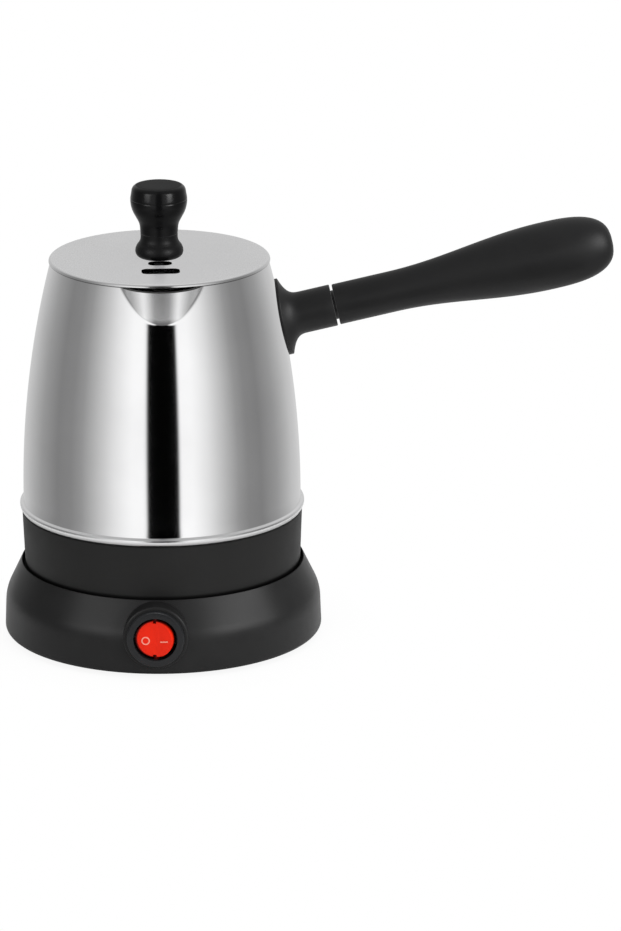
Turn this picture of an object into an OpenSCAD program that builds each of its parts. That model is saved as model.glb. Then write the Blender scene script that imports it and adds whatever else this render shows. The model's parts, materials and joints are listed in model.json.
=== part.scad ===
// Electric Turkish coffee maker: a long-handled steel pot with a loose lid, standing on a
// round power base with a central 360-degree connector and a round rocker switch.
// Millimetres. +Z is up, the origin is on the table under the middle of the pot,
// the spout and the switch face -Y, and the handle points to +X.

/* [Base] */
// Largest radius of the base housing
base_r = 63.9; // [61:0.1:67]
// Height of the rim of the well that the pot stands in
base_h = 30.3; // [29.8:0.1:32]
// Wall thickness of the base housing
base_wall = 2.4; // [1.8:0.1:2.8]
// Radius of the housing's bottom edge
base_edge_r = 2; // [1:0.1:2.6]
// Draft of the housing's side, in degrees
base_draft = 2.2; // [0.5:0.1:3.5]
// Height where the side turns into the sloping shoulder
shoulder_z = 13.5; // [11:0.5:14]
// Radius of the bend between side and shoulder
shoulder_r = 17; // [14:0.5:18]
// Width of the flat rim round the well
well_rim_w = 0.4; // [0.2:0.1:1]
// Room round the skirt's foot in the well
well_gap = 1.2; // [0.7:0.1:1.6]
// Depth of the well
well_depth = 2.9; // [2.4:0.1:3.2]
// Thickness of the well's floor
deck_t = 1.8; // [1.5:0.1:2]
// Turn of the whole base on the table, in degrees
base_turn = 4; // [0:0.5:8]
// Thickness of the bottom cover
cover_t = 2.4; // [2:0.1:2.8]
// Radius of the middle of the rubber foot ring
foot_ring_r = 49; // [46:0.5:51]
// Width of the rubber foot ring
foot_ring_w = 6; // [4:0.5:8]
// How far the foot ring stands proud of the bottom
foot_proud = 1.5; // [1.2:0.1:2]
// Radius of the circle of the four cover screws
cover_screw_pcr = 38; // [34:0.5:40]

/* [Connector] */
// Radius of the connector that the pot is lowered onto
hub_r = 17; // [16:0.5:17.5]
// Height of the connector above the well's floor
hub_rise = 8.6; // [8:0.1:9.4]
// Radius of the inner contact ring
ring1_r = 8; // [7.5:0.1:8.5]
// Radius of the outer contact ring
ring2_r = 13; // [12.5:0.1:13.2]
// Thickness of a contact ring
ring_t = 0.8; // [0.6:0.1:1]
// Radius of the earth pin
earth_pin_r = 2.2; // [1.8:0.1:2.4]
// Width of the annular slots that the contact rings run in
slot_w = 2.2; // [2:0.1:2.4]

/* [Switch] */
// Depth of the switch's middle below the rim of the well
switch_drop = 13.1; // [12.9:0.1:13.3]
// How far the switch's seat stands out of the housing
switch_seat = 0.9; // [0.6:0.1:1.4]
// Radius of the round boss that carries the switch
switch_boss_r = 12.9; // [12.4:0.1:13]
// Radius of the switch's bezel
bezel_r = 11.4; // [11:0.1:12]
// Thickness of the switch's bezel
bezel_t = 2; // [1.5:0.1:2.5]
// Radius of the rocker
rocker_r = 7.55; // [7.3:0.05:7.8]
// Tilt of the rocker to each side, in degrees
rocker_tilt = 11; // [8:0.5:11]
// Radius of the rocker's trunnions
trunnion_r = 1.1; // [0.9:0.05:1.1]

/* [Pot] */
// Radius of the pot at its widest
pot_r = 55.7; // [54.5:0.05:56]
// Height of the widest place of the pot above the bead
pot_wide_h = 4.6; // [3:0.1:7]
// Radius of the long curve of the pot's side
pot_arc_r = 378; // [360:1:420]
// Height of the pot's side, from the bead to the rim
pot_h = 100.4; // [92:0.1:107]
// Thickness of the steel
steel_t = 0.8; // [0.6:0.1:1]
// Height of the rolled bead above the floor of the well
bead_rise = 26; // [24.8:0.1:26.8]
// Radius of the rolled bead
bead_r = 1.45; // [1.2:0.05:1.7]
// Thickness of the welded bottom
bottom_t = 0.8; // [0.6:0.1:1.2]
// Height of the underside of the welded bottom above the bead
bottom_rise = 3.9; // [3.5:0.1:4.9]

/* [Spout] */
// Height of the spout's tip above the base of the lip
spout_drop = 13.3; // [10:0.1:16]
// Lean of the spout's front line, in degrees from upright
spout_lean = 12.3; // [8:0.5:16]
// Half angle of the spout's cone
spout_half_angle = 36; // [33:0.5:38]
// Radius of the round nose at the spout's tip
spout_nose_r = 5.2; // [4.2:0.1:5.6]

/* [Skirt] */
// Radius of the plastic skirt under the bead
skirt_top_r = 56.6; // [56.3:0.1:56.9]
// Radius of the skirt at its foot
skirt_foot_r = 55.4; // [55:0.1:55.8]
// Wall thickness of the skirt
skirt_wall = 2; // [1.8:0.1:2.3]
// Height of the skirt's foot under its floor
skirt_rim_h = 1.5; // [1.4:0.1:1.8]
// Thickness of the skirt's floor
skirt_floor_t = 2.1; // [2:0.1:2.4]

/* [Heater] */
// Radius of the aluminium heat plate
heat_plate_r = 46; // [45:0.5:49]
// Thickness of the heat plate
heat_plate_t = 3; // [2.5:0.1:3.5]
// Radius of the bend of the tubular element
element_ring_r = 33; // [32.8:0.1:33.4]
// Radius of the element's tube
element_tube_r = 3.3; // [2.8:0.1:3.4]

/* [Lid] */
// How far the lid reaches past the rim
lid_over = 0.94; // [0.8:0.02:2]
// Thickness of the lid's folded edge
lid_edge_t = 1.5; // [1.4:0.1:2]
// Thickness of the lid's sheet
lid_sheet_t = 0.8; // [0.6:0.1:0.9]
// Depth of the locating ring below the lid
lid_ring_h = 5; // [4:0.5:8]
// Length of the small steam slot
slot1_len = 9.1; // [7:0.1:10]
// Width of the small steam slot
slot1_w = 4.8; // [4.2:0.1:5.4]
// Distance of the small steam slot from the middle
slot1_y = 12; // [11.6:0.1:13]
// Length of the long steam slot
slot2_len = 15; // [12:0.1:18]
// Width of the long steam slot
slot2_w = 7; // [5:0.1:8]
// Distance of the long steam slot from the middle
slot2_y = 24.4; // [23:0.1:28]

/* [Knob] */
// Height of the knob
knob_h = 29.5; // [28:0.1:34]
// Radius of the round foot of the knob
knob_foot_r = 9.55; // [8.8:0.05:9.9]
// Radius of the knob's neck
knob_neck_r = 7.35; // [6.9:0.05:7.7]
// Largest radius of the knob's head
knob_head_r = 11.3; // [10.5:0.05:12]

/* [Handle] */
// Depth of the handle's root below the rim
handle_drop = 24.1; // [22.5:0.1:32]
// Upward tilt of the handle, in degrees
handle_tilt = 12.5; // [8:0.1:18]
// Distance from the pot to the end of the ferrule
ferrule_len = 20.85; // [19:0.05:24]
// Width of the open slit between ferrule and grip
slit_w = 1; // [0.6:0.05:2]
// Length of the grip
grip_len = 113; // [95:0.5:130]
// Half height of the grip's slim part
grip_slim_h = 8.25; // [7.8:0.05:8.6]
// Half height of the grip's thick part
grip_full_h = 13.65; // [11.5:0.05:14.5]
// Width of the grip as a share of its height
grip_oval = 0.88; // [0.8:0.01:1]
// Half height of the ferrule's flange
flange_h = 15.7; // [14.5:0.1:17]
// Half width of the ferrule's flange
flange_w = 11.3; // [10:0.1:12]
// Radius of the steel stud
stud_r = 2.5; // [2:0.1:2.6]

/* [Cord inlet] */
// Radius of the cord's hole
cord_r = 3.2; // [2.8:0.1:3.6]
// Height of the cord's hole
inlet_z = 11.5; // [11:0.1:13]

/* [Hidden] */
$fn = 72;
gap = 0.3;              // room left between loose neighbours
fit = 0.1;              // room between assembled neighbours
running = 0.05;         // room round a shaft that turns

// Heights of the base
base_z = foot_proud;
deck_z = base_h - well_depth;
deck_under = deck_z - deck_t;
cover_top = base_z + cover_t;
groove_d = 1;
hub_z = deck_z + hub_rise;

// Outline of the housing
well_r = skirt_foot_r + well_gap;
edge_c = [base_r - base_edge_r, base_z + base_edge_r];
shoulder_c = [
    base_r - tan(base_draft) * (shoulder_z - edge_c.y) - shoulder_r * cos(base_draft),
    shoulder_z - shoulder_r * sin(base_draft)];
rim_p = [well_r + well_rim_w, base_h];
shoulder_a = tangent_angle(shoulder_c, shoulder_r, rim_p);
inner_r = base_r - base_wall;
inner_bend_r = shoulder_r - base_wall;
inner_bend_end = shoulder_c + inner_bend_r * [cos(shoulder_a), sin(shoulder_a)];
inner_top = [
    inner_bend_end.x - tan(shoulder_a) * (deck_under - inner_bend_end.y), deck_under];
cover_r = inner_r - gap;
screw_head_r = 3;
cover_screw_l = 9;
connector_screw_l = 5.4;
pot_screw_l = 8;
skirt_screw_l = 8;
knob_screw_l = 12;

// Connector
hub_hole_r = hub_r + 0.35;
collar_w = 1.5;
collar_h = 1.2;
hub_flange_z = deck_under - 6;
hub_flange_t = 2.8;
hub_flange_r = hub_r + 5;
hub_ear_pcr = hub_r + 10;
hub_ear_r = 4;
hub_ear_az = [90, 210, 330];
slot_floor = deck_z + 0.6;
socket_r = earth_pin_r + 0.35;
socket_t = 0.4;
tail_w = 2.5;
tail_z = hub_flange_z - 5.6;
leaf_t = 0.3;
ring1_az = 246;
ring2_az = 115;

// Switch, along its own axis s: s = 0 on the seat, positive outwards
seat_r = base_r + switch_seat;
switch_z = base_h - switch_drop;
panel_t = 2.5;
barrel_r = bezel_r - 1.75;
barrel_len = 14;
barrel_half_h = 8;
opening_r = rocker_r + 1.15;
pivot_s = -1;
rocker_valley = 1.83;
rocker_valley_r = 14;
rocker_skirt = 2.5;
leg_r = 2.1;
leg_len = 5.6;
plunger_r = 1.1;
plunger_tip = 8.2;
cavity = [14.4, 13, 9];
see_saw_s = -9.65;
see_saw_tilt = 6;
see_saw = [10, 3.4, 0.6];
see_saw_pin_r = 0.55;
contact_x = 4.2;
blade = [4.8, 0.8, 9];
lamp_y = 4.4;
lamp_s = -8.9;
lamp_r = 1.6;
lamp_len = 7;
boss_depth = 9.5;

// Cord inlet, along its own axis s outwards
pad_r = 8;
pad_face = base_r + 0.4;
gland_r = 5.3;
gland_flange_r = 7.2;
gland_flange_t = 2.2;
pad_back_r = 7.2;
gland_wall = 4.6;
gland_back_t = 1.6;

// Pot
bead_z = deck_z + bead_rise;
pot_wide_z = bead_z + pot_wide_h;
rim_z = bead_z + pot_h;
bottom_z = bead_z + bottom_rise;

// Skirt and pot-side connector
bead_bottom = bead_z - bead_r;
skirt_floor_z = deck_z + skirt_rim_h;
skirt_floor_top = skirt_floor_z + skirt_floor_t;
skirt_hole_r = hub_hole_r + collar_w + 1.3;
cup_r = hub_r + 0.8;
cup_wall = 4;
cup_top = hub_z + 1;
cup_plate_t = 3;
cup_plate_top = cup_top + cup_plate_t;
ear_pcr = 26;
ear_r = 4;
ring_bottom = slot_floor + 1.2;
pin_bottom = ring_bottom - 0.6;
pot_tail_top = cup_plate_top + 1.7;
strap_t = 0.8;
strap_w = 4;
strap_z = pot_tail_top;

// Heater
plate_z = bottom_z - heat_plate_t;
element_z = plate_z - element_tube_r + 0.4;
element_gap = 50;
element_ends = [180 - element_gap / 2, 180 + element_gap / 2];
element_pin_r = 1.3;
element_leg_z = element_z - 4.5;
post_pcr = 41;
post_r = 3;
post_az = [30, 150, 270];
ear_az = [60, 180, 300];
thermostat_x = 6;
thermostat_r = 8.2;
thermostat_cap_h = 2.8;
thermostat_body_r = 7.6;
thermostat_body_z = plate_z - 8.4;
thermostat_leg_y = 10.6;

// Lid and knob
lid_r = pot_out(rim_z) + lid_over;
lid_top = rim_z + lid_edge_t;
lid_under = lid_top - lid_sheet_t;
knob_screw_r = 2;
lid_ring_r = pot_out(rim_z) - steel_t - 0.6;
hem_r = lid_ring_r + fit;
lid_ring_t = 0.6;
lid_ring_flange = 5.5;
lid_ring_notch = 28;
washer_r = 5.5;
washer_t = 0.8;

// Spout
spout_z = rim_z - spout_drop;
spout_tip = [-pot_out(spout_z), spout_z];
spout_tilt = spout_half_angle - spout_lean;
spout_start = spout_tip - 2.2 * [-sin(spout_lean), cos(spout_lean)];
spout_root = spout_start - spout_nose_r * [-cos(spout_tilt), sin(spout_tilt)];
spout_len = 30;

// Handle, along its own axis u outwards from the pot's side
handle_z = rim_z - handle_drop;
handle_x = pot_out(handle_z);
grip_u = ferrule_len + slit_w;
grip_end = grip_u + grip_len;
swell_u = grip_u + 0.205 * grip_len;
full_u = grip_u + 0.765 * grip_len;
spigot_r = 5.85;
spigot_u = ferrule_len - 4.8;
neck_h = grip_slim_h + 0.2;
neck_w = neck_h * 0.9;
flange_t = 1.4;
flange_reach = 30;
bell_end = 9;
bracket_t = 1.2;
bracket = [18, 11];
stud_in_grip = 40;
stud_end = grip_u + stud_in_grip;
insert_start = 16;
insert_len = 16;
insert_u = [grip_u + insert_start, grip_u + insert_start + insert_len];
insert_r = 4.5;
section_n = 36;

// The lead from the switch to the inner contact: share of the way, sideways, up
lead_r = 1.1;
lead_y = seat_r - barrel_len - blade.z;
lead_a = [-contact_x - lead_y * sin(base_turn), 0.7 - lead_y, switch_z];
lead_b = [-3.6, -ring1_r - 0.85, tail_z - 0.05];
lead_bends = [
    [0, 0, 0], [0.093, -0.27, 0.1], [0.218, -1.3, -1.49], [0.373, -2.44, -4.49],
    [0.529, -2.37, -6.48], [0.684, -1.31, -6.78], [0.84, -0.45, -5.47], [0.949, 0.08, -2.82],
    [1, 0, 0]];
lead_points = [for (b = lead_bends) lead_a + b[0] * (lead_b - lead_a) + [b[1], 0, b[2]]];

// Points of an arc about c, from angle a to angle b
function arc(c, r, a, b, n = 8) =
    [for (i = [0:n]) c + r * [cos(a + (b - a) * i / n), sin(a + (b - a) * i / n)]];

// Angle at which a line from point p touches the circle about c, on its outer side
function tangent_angle(c, r, p) = atan2(p.y - c.y, p.x - c.x) - acos(r / norm(p - c));

// Outside radius of the pot's side at height z
function pot_out(z) = pot_r - pot_arc_r + sqrt(pow(pot_arc_r, 2) - pow(z - pot_wide_z, 2));

// Points up the pot's side between two heights, with the curve moved in by inset
function pot_side(z0, z1, inset = 0, n = 18) = let(
    r = pot_arc_r - inset, a = asin((z0 - pot_wide_z) / r), b = asin((z1 - pot_wide_z) / r))
    arc([pot_r - pot_arc_r, pot_wide_z], r, a, b, n);

// Frame of the switch: x to the viewer's right, y up, z out of the base
module at_switch() {
    rotate([0, 0, -base_turn]) translate([0, -seat_r, switch_z]) rotate([90, 0, 0]) children();
}

// Frame of the cord inlet: z out of the back of the base
module at_inlet() {
    rotate([0, 0, -base_turn]) translate([0, pad_face, inlet_z]) rotate([-90, 0, 0]) children();
}

// Frame of the handle: x along the handle, z its upper side
module at_handle() {
    translate([handle_x, 0, handle_z]) rotate([0, -handle_tilt, 0]) children();
}

// A rod along the x axis
module x_rod(u0, u1, r) {
    translate([u0, 0, 0]) rotate([0, 90, 0]) cylinder(r = r, h = u1 - u0);
}

// Copies at a radius and a list of directions
module around(r, directions) {
    for (a = directions) rotate([0, 0, a]) translate([r, 0, 0]) children();
}

module tube(r_out, r_in, h) {
    difference() {
        cylinder(r = r_out, h = h);
        translate([0, 0, -1]) cylinder(r = r_in, h = h + 2);
    }
}

// A pan-head screw standing on its head, shank up
module pan_screw(shank_r, shank_h, head_r, head_h) {
    rotate_extrude() polygon(concat(
        [[0, 0], [head_r - head_h * 0.6, 0]],
        arc([head_r - head_h * 0.6, head_h * 0.6], head_h * 0.6, -90, 0, 5),
        [[head_r, head_h], [shank_r, head_h], [shank_r, head_h + shank_h - 0.6],
         [shank_r - 0.6, head_h + shank_h], [0, head_h + shank_h]]));
}

// A slot with round ends, len long over all
module round_slot(len, w, h) {
    translate([-(len - w) / 2, -w / 2, 0]) cube([len - w, w, h]);
    for (x = [-1, 1]) translate([x * (len - w) / 2, 0, 0]) cylinder(d = w, h = h);
}

// A skin over closed rings of points, each ring in order of u
module loft(rings) {
    n = len(rings[0]);
    m = len(rings);
    polyhedron(
        points = [for (ring = rings) each ring],
        faces = concat(
            [[for (i = [0:n - 1]) i]],
            [for (k = [0:m - 2], i = [0:n - 1]) [
                k * n + i, (k + 1) * n + i, (k + 1) * n + (i + 1) % n]],
            [for (k = [0:m - 2], i = [0:n - 1]) [
                k * n + i, (k + 1) * n + (i + 1) % n, k * n + (i + 1) % n]],
            [[for (i = [n - 1:-1:0]) (m - 1) * n + i]]));
}

// An oval section across the x axis at u, with half height h and half width w
function oval(u, h, w) = [for (i = [0:section_n - 1])
    [u, w * cos(360 * i / section_n), h * sin(360 * i / section_n)]];

// ---------------------------------------------------------------- base

module base_outline() {
    polygon(concat(
        [[inner_r, base_z]],
        arc(edge_c, base_edge_r, -90, base_draft, 6),
        arc(shoulder_c, shoulder_r, base_draft, shoulder_a, 8),
        [rim_p, [well_r, base_h], [well_r, deck_z],
         [hub_hole_r + collar_w, deck_z], [hub_hole_r + collar_w, deck_z + collar_h],
         [hub_hole_r, deck_z + collar_h], [hub_hole_r, deck_under], inner_top],
        arc(shoulder_c, inner_bend_r, shoulder_a, base_draft, 8)));
}

// The hollow of the housing and the well, for cutting what is added
module base_hollow() {
    rotate_extrude() polygon(concat(
        [[0, -1], [inner_r, -1], [inner_r, base_z]],
        arc(shoulder_c, inner_bend_r, base_draft, shoulder_a, 8),
        [inner_top, [0, deck_under]]));
    translate([0, 0, deck_z]) cylinder(r = well_r, h = 20);
}

// Round boss for the switch, with a soft front edge
module switch_boss() {
    edge = 0.8;
    at_switch() rotate_extrude() polygon(concat(
        [[0, -boss_depth], [switch_boss_r, -boss_depth]],
        arc([switch_boss_r - edge, -edge], edge, 0, 90, 4),
        [[0, 0]]));
}

module base_shell() {
    color("#1d1d1f") difference() {
        union() {
            rotate_extrude() base_outline();
            difference() {
                union() {
                    switch_boss();
                    at_inlet() translate([0, 0, -6]) cylinder(r = pad_r, h = 6);
                }
                base_hollow();
            }
            // Flat inner side of the pad, for the gland's back flange
            at_inlet() translate([0, 0, -gland_wall]) cylinder(r = pad_back_r, h = gland_wall);
            rotate([0, 0, -base_turn]) {
                around(cover_screw_pcr, [45, 135, 225, 315])
                    translate([0, 0, cover_top]) cylinder(r = 4, h = deck_under - cover_top + 0.5);
                around(hub_ear_pcr, hub_ear_az) translate([0, 0, hub_flange_z + hub_flange_t])
                    cylinder(r = hub_ear_r, h = deck_under - hub_flange_z - hub_flange_t + 0.5);
            }
        }
        // Seat, hole and pocket of the switch
        at_switch() {
            translate([0, 0, -panel_t - 1]) cylinder(r = barrel_r + 0.2, h = panel_t + 2);
            intersection() {
                translate([0, 0, -boss_depth - 3]) cylinder(r = 11.4, h = boss_depth + 3 - panel_t);
                translate([-12, -barrel_half_h - gap, -20])
                    cube([24, 2 * (barrel_half_h + gap), 20]);
            }
        }
        at_inlet() translate([0, 0, -12]) cylinder(r = gland_r + fit, h = 14);
        rotate([0, 0, -base_turn]) {
            around(cover_screw_pcr, [45, 135, 225, 315])
                translate([0, 0, cover_top - 1]) cylinder(r = 1.55, h = 13);
            around(hub_ear_pcr, hub_ear_az)
                translate([0, 0, hub_flange_z]) cylinder(r = 1.45, h = deck_z - 0.8 - hub_flange_z);
        }
    }
}

module base_cover() {
    color("#202022") difference() {
        union() {
            translate([0, 0, base_z]) cylinder(r = cover_r, h = cover_t);
            translate([0, 0, cover_top]) tube(cover_r - 2.4, cover_r - 4, 2);
        }
        translate([0, 0, base_z - 1])
            tube(foot_ring_r + foot_ring_w / 2 + fit, foot_ring_r - foot_ring_w / 2 - fit,
                1 + groove_d);
        rotate([0, 0, -base_turn]) {
            around(cover_screw_pcr, [45, 135, 225, 315]) {
                translate([0, 0, base_z - 1]) cylinder(r = 1.8, h = cover_t + 2);
                translate([0, 0, base_z - 1]) cylinder(r = 3.3, h = 2.4);
            }
            // Drain and vent slots
            for (a = [0:45:315]) rotate([0, 0, a]) translate([22, 0, base_z - 1])
                round_slot(14, 2.6, cover_t + 2);
        }
        // Room for the back of the cord gland
        at_inlet() translate([0, 0, -gland_wall - 5]) cylinder(r = gland_r + 1.6, h = 6);
    }
}

module cover_screws() {
    color("#b9bcc0") rotate([0, 0, -base_turn])
        around(cover_screw_pcr, [45, 135, 225, 315])
            translate([0, 0, base_z + 0.2]) pan_screw(1.5, cover_screw_l, screw_head_r, 1.2);
}

module foot_ring() {
    color("#2b2b2b")
        tube(foot_ring_r + foot_ring_w / 2, foot_ring_r - foot_ring_w / 2, base_z + groove_d);
}

// Slot in the connector for the tail of a contact
module tail_hole(r, az) {
    rotate([0, 0, az]) translate([r - 0.7, -tail_w / 2 - 0.2, hub_flange_z - 1])
        cube([1.4, tail_w + 0.4, slot_floor - hub_flange_z + 2]);
}

module base_connector() {
    top_edge = 1.2;
    color("#151515") difference() {
        union() {
            rotate_extrude() polygon(concat(
                [[0, hub_flange_z], [hub_flange_r, hub_flange_z],
                 [hub_flange_r, hub_flange_z + hub_flange_t], [hub_r, hub_flange_z + hub_flange_t]],
                arc([hub_r - top_edge, hub_z - top_edge], top_edge, 0, 90, 5),
                [[0, hub_z]]));
            rotate([0, 0, -base_turn]) around(hub_ear_pcr, hub_ear_az)
                translate([0, 0, hub_flange_z]) cylinder(r = hub_ear_r, h = hub_flange_t);
            rotate([0, 0, -base_turn]) for (a = hub_ear_az) rotate([0, 0, a])
                translate([hub_r, -hub_ear_r, hub_flange_z])
                    cube([hub_ear_pcr - hub_r, 2 * hub_ear_r, hub_flange_t]);
        }
        // Annular slots for the two rings, and the hole for the earth pin
        for (r = [ring1_r, ring2_r]) translate([0, 0, slot_floor])
            tube(r + slot_w / 2, r - slot_w / 2, 20);
        translate([0, 0, slot_floor]) cylinder(r = socket_r + socket_t + running, h = 20);
        translate([0, 0, hub_flange_z - 1]) cylinder(r = socket_r, h = 20);
        tail_hole(ring1_r + ring_t / 2 + 0.5, ring1_az);
        tail_hole(ring2_r + ring_t / 2 + 0.5, ring2_az);
        rotate([0, 0, -base_turn]) around(hub_ear_pcr, hub_ear_az)
            translate([0, 0, hub_flange_z - 1]) cylinder(r = 1.7, h = hub_flange_t + 2);
    }
}

// Spring leaf that a contact ring slides along, with its tail
module ring_leaf(r, az) {
    r_in = r + ring_t / 2 + 0.35;
    rotate([0, 0, az - 25]) translate([0, 0, slot_floor])
        rotate_extrude(angle = 50) translate([r_in, 0]) square([leaf_t, hub_z - slot_floor - 1.2]);
    rotate([0, 0, az]) translate([r_in, -tail_w / 2, tail_z])
        cube([leaf_t, tail_w, slot_floor - tail_z + 1]);
}

module connector_contacts() {
    color("#c8a24a") {
        translate([0, 0, slot_floor]) tube(socket_r + socket_t, socket_r, hub_z - slot_floor - 0.8);
        ring_leaf(ring1_r, ring1_az);
        ring_leaf(ring2_r, ring2_az);
    }
}

module connector_screws() {
    color("#b9bcc0") rotate([0, 0, -base_turn]) around(hub_ear_pcr, hub_ear_az)
        translate([0, 0, hub_flange_z - 1.8]) pan_screw(1.4, connector_screw_l, screw_head_r, 1.8);
}

module cord_gland() {
    edge = 1.2;
    back = -gland_wall - fit;
    color("#18181a") at_inlet() rotate_extrude() polygon(concat(
        [[cord_r, back - gland_back_t], [gland_r + 1, back - gland_back_t], [gland_r + 1, back],
         [gland_r, back], [gland_r, 0], [gland_flange_r, 0]],
        arc([gland_flange_r - edge, gland_flange_t - edge], edge, 0, 90, 4),
        [[cord_r + 0.8, gland_flange_t], [cord_r, gland_flange_t - 0.8]]));
}

// Smooth points through the lead's own points
function spline(p, i, t) = let(
    a = p[max(i - 1, 0)], b = p[i], c = p[i + 1], d = p[min(i + 2, len(p) - 1)])
    0.5 * (2 * b + (c - a) * t + (2 * a - 5 * b + 4 * c - d) * t * t
        + (3 * b - a - 3 * c + d) * t * t * t);

module switch_lead() {
    steps = 3;
    sides = 8;
    path = concat(
        [for (i = [0:len(lead_points) - 2], k = [0:steps - 1]) spline(lead_points, i, k / steps)],
        [lead_points[len(lead_points) - 1]]);
    n = len(path);
    rings = [for (i = [0:n - 1]) let(
        d = path[min(i + 1, n - 1)] - path[max(i - 1, 0)], t = d / norm(d),
        side = cross(t, [1, 0, 0]) / norm(cross(t, [1, 0, 0])), up = cross(side, t))
        [for (k = [0:sides - 1])
            path[i] + lead_r * (side * cos(360 * k / sides) - up * sin(360 * k / sides))]];
    color("#7a2a20") loft(rings);
}

// -------------------------------------------------------------- switch

module switch_housing() {
    edge = 0.9;
    color("#1b1b1d") at_switch() difference() {
        union() {
            rotate_extrude() polygon(concat(
                [[0, -panel_t - 0.3], [barrel_r, -panel_t - 0.3], [barrel_r, 0], [bezel_r, 0]],
                arc([bezel_r - edge, bezel_t - edge], edge, 0, 90, 5),
                [[0, bezel_t]]));
            intersection() {
                translate([0, 0, -barrel_len]) cylinder(r = barrel_r, h = barrel_len);
                translate([-barrel_r - 1, -barrel_half_h, -barrel_len])
                    cube([2 * barrel_r + 2, 2 * barrel_half_h, barrel_len]);
            }
            // Snap wings that hold the switch in the wall
            for (side = [0, 180]) rotate([0, 0, side]) rotate([90, 0, 0])
                translate([0, 0, -2.5]) linear_extrude(5) polygon([
                    [barrel_r - 1, -panel_t - 0.1], [barrel_r + 1, -panel_t - 0.1],
                    [barrel_r - 0.2, -panel_t - 5], [barrel_r - 1, -panel_t - 5]]);
        }
        // Round mouth, and the box-shaped hollow behind it
        translate([0, 0, -rocker_skirt + pivot_s - 2]) cylinder(r = opening_r, h = 20);
        translate([-cavity.x / 2, -cavity.y / 2, -barrel_len + 1.6])
            cube([cavity.x, cavity.y, cavity.z]);
        // Bearings of the rocker's trunnions
        translate([0, opening_r + 0.65, pivot_s]) rotate([90, 0, 0])
            cylinder(r = trunnion_r + running, h = 2 * opening_r + 1.3);
        // Slits for the three terminals
        for (x = [-contact_x, 0, contact_x]) translate([x - blade.y / 2 - fit,
            -blade.x / 2 - fit, -barrel_len - 1]) cube([blade.y + 2 * fit, blade.x + 2 * fit, 4]);
    }
    // Saddle of the lamp
    color("#1b1b1d") at_switch() for (x = [-2.4, 1.4])
        translate([x, lamp_y - 1.2, -barrel_len + 1.6])
            cube([1, 2.4, lamp_s - lamp_r - 0.05 - (-barrel_len + 1.6)]);
}

// Blade terminals: the middle one carries the see-saw contact
module switch_terminals() {
    floor_s = -barrel_len + 1.6;
    color("#c9a75a") at_switch() {
        for (x = [-contact_x, 0, contact_x])
            translate([x - blade.y / 2, -blade.x / 2, -barrel_len - blade.z])
                cube([blade.y, blade.x, blade.z + barrel_len + floor_s]);
        // Fulcrum under the see-saw
        translate([0, -see_saw.y / 2, floor_s]) rotate([-90, 0, 0])
            linear_extrude(see_saw.y) polygon([
                [-1.2, 0], [1.2, 0], [0.3, -(see_saw_s - see_saw_pin_r - 0.1 - floor_s)],
                [-0.3, -(see_saw_s - see_saw_pin_r - 0.1 - floor_s)]]);
        // Fixed contact on the load side
        translate([-contact_x, 0, floor_s]) cylinder(r = 1.2, h = 1.15);
    }
}

module neon_lamp() {
    color("#ff8a4a", 0.7) at_switch() translate([-lamp_len / 2, lamp_y, lamp_s])
        rotate([0, 90, 0]) rotate_extrude() polygon(concat(
            [[0, 0], [lamp_r, 0]],
            arc([0, lamp_len - lamp_r], lamp_r, 0, 90, 6)));
}

// Metal see-saw that the rocker's plunger tips over
module switch_contact() {
    color("#d8d3c4") at_switch() translate([0, 0, see_saw_s]) rotate([0, see_saw_tilt, 0]) {
        translate([-see_saw.x / 2, -see_saw.y / 2, -see_saw.z / 2]) cube(see_saw);
        translate([-contact_x, 0, -see_saw.z / 2 - 0.5]) cylinder(r = 1.1, h = 0.5);
        // Round rib under the middle, which rolls on the fulcrum
        difference() {
            translate([0, see_saw.y / 2, 0]) rotate([90, 0, 0])
                cylinder(r = see_saw_pin_r, h = see_saw.y);
            translate([-1, -see_saw.y, 0]) cube([2, 2 * see_saw.y, 1]);
        }
    }
}

// Frame of the rocker: its pivot, in the off position
module at_pivot() {
    at_switch() translate([0, 0, pivot_s]) rotate([0, -rocker_tilt, 0]) children();
}

module switch_rocker() {
    rise = rocker_valley + rocker_r * tan(rocker_tilt);
    notch = [1.5, 1.1, 1.4];
    color("#e2321e") at_pivot() difference() {
        union() {
            intersection() {
                rotate([90, 0, 0]) translate([0, 0, -rocker_r]) linear_extrude(2 * rocker_r)
                    polygon(concat(
                        [[-rocker_r, -rocker_skirt], [rocker_r, -rocker_skirt],
                         [rocker_r, rise]],
                        arc([0, rocker_valley + rocker_valley_r / cos(rocker_tilt)],
                            rocker_valley_r, rocker_tilt - 90, -rocker_tilt - 90, 6),
                        [[-rocker_r, rise]]));
                translate([0, 0, -rocker_skirt]) cylinder(r = rocker_r, h = 8);
            }
            translate([0, opening_r + 0.45, 0]) rotate([90, 0, 0])
                cylinder(r = trunnion_r, h = 2 * opening_r + 0.9);
        }
        // Hollow underside, and the two notches over the trunnions
        difference() {
            translate([0, 0, -rocker_skirt - 1]) cylinder(r = rocker_r - 1.6, h = rocker_skirt + 1.4);
            translate([0, 0, -rocker_skirt - 1]) cylinder(r = leg_r, h = rocker_skirt + 2);
        }
        for (y = [-1, 1]) translate([-notch.x / 2, y * (rocker_r - notch.y / 2) - notch.y / 2,
            rocker_valley - notch.z + 0.5]) cube([notch.x, notch.y, notch.z]);
        translate([0, 0, -leg_len - 1]) cylinder(r = plunger_r + fit, h = leg_len + 0.6);
    }
    color("#e2321e") at_pivot() translate([0, 0, -leg_len]) tube(leg_r, plunger_r + fit,
        leg_len - rocker_skirt);
}

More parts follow.
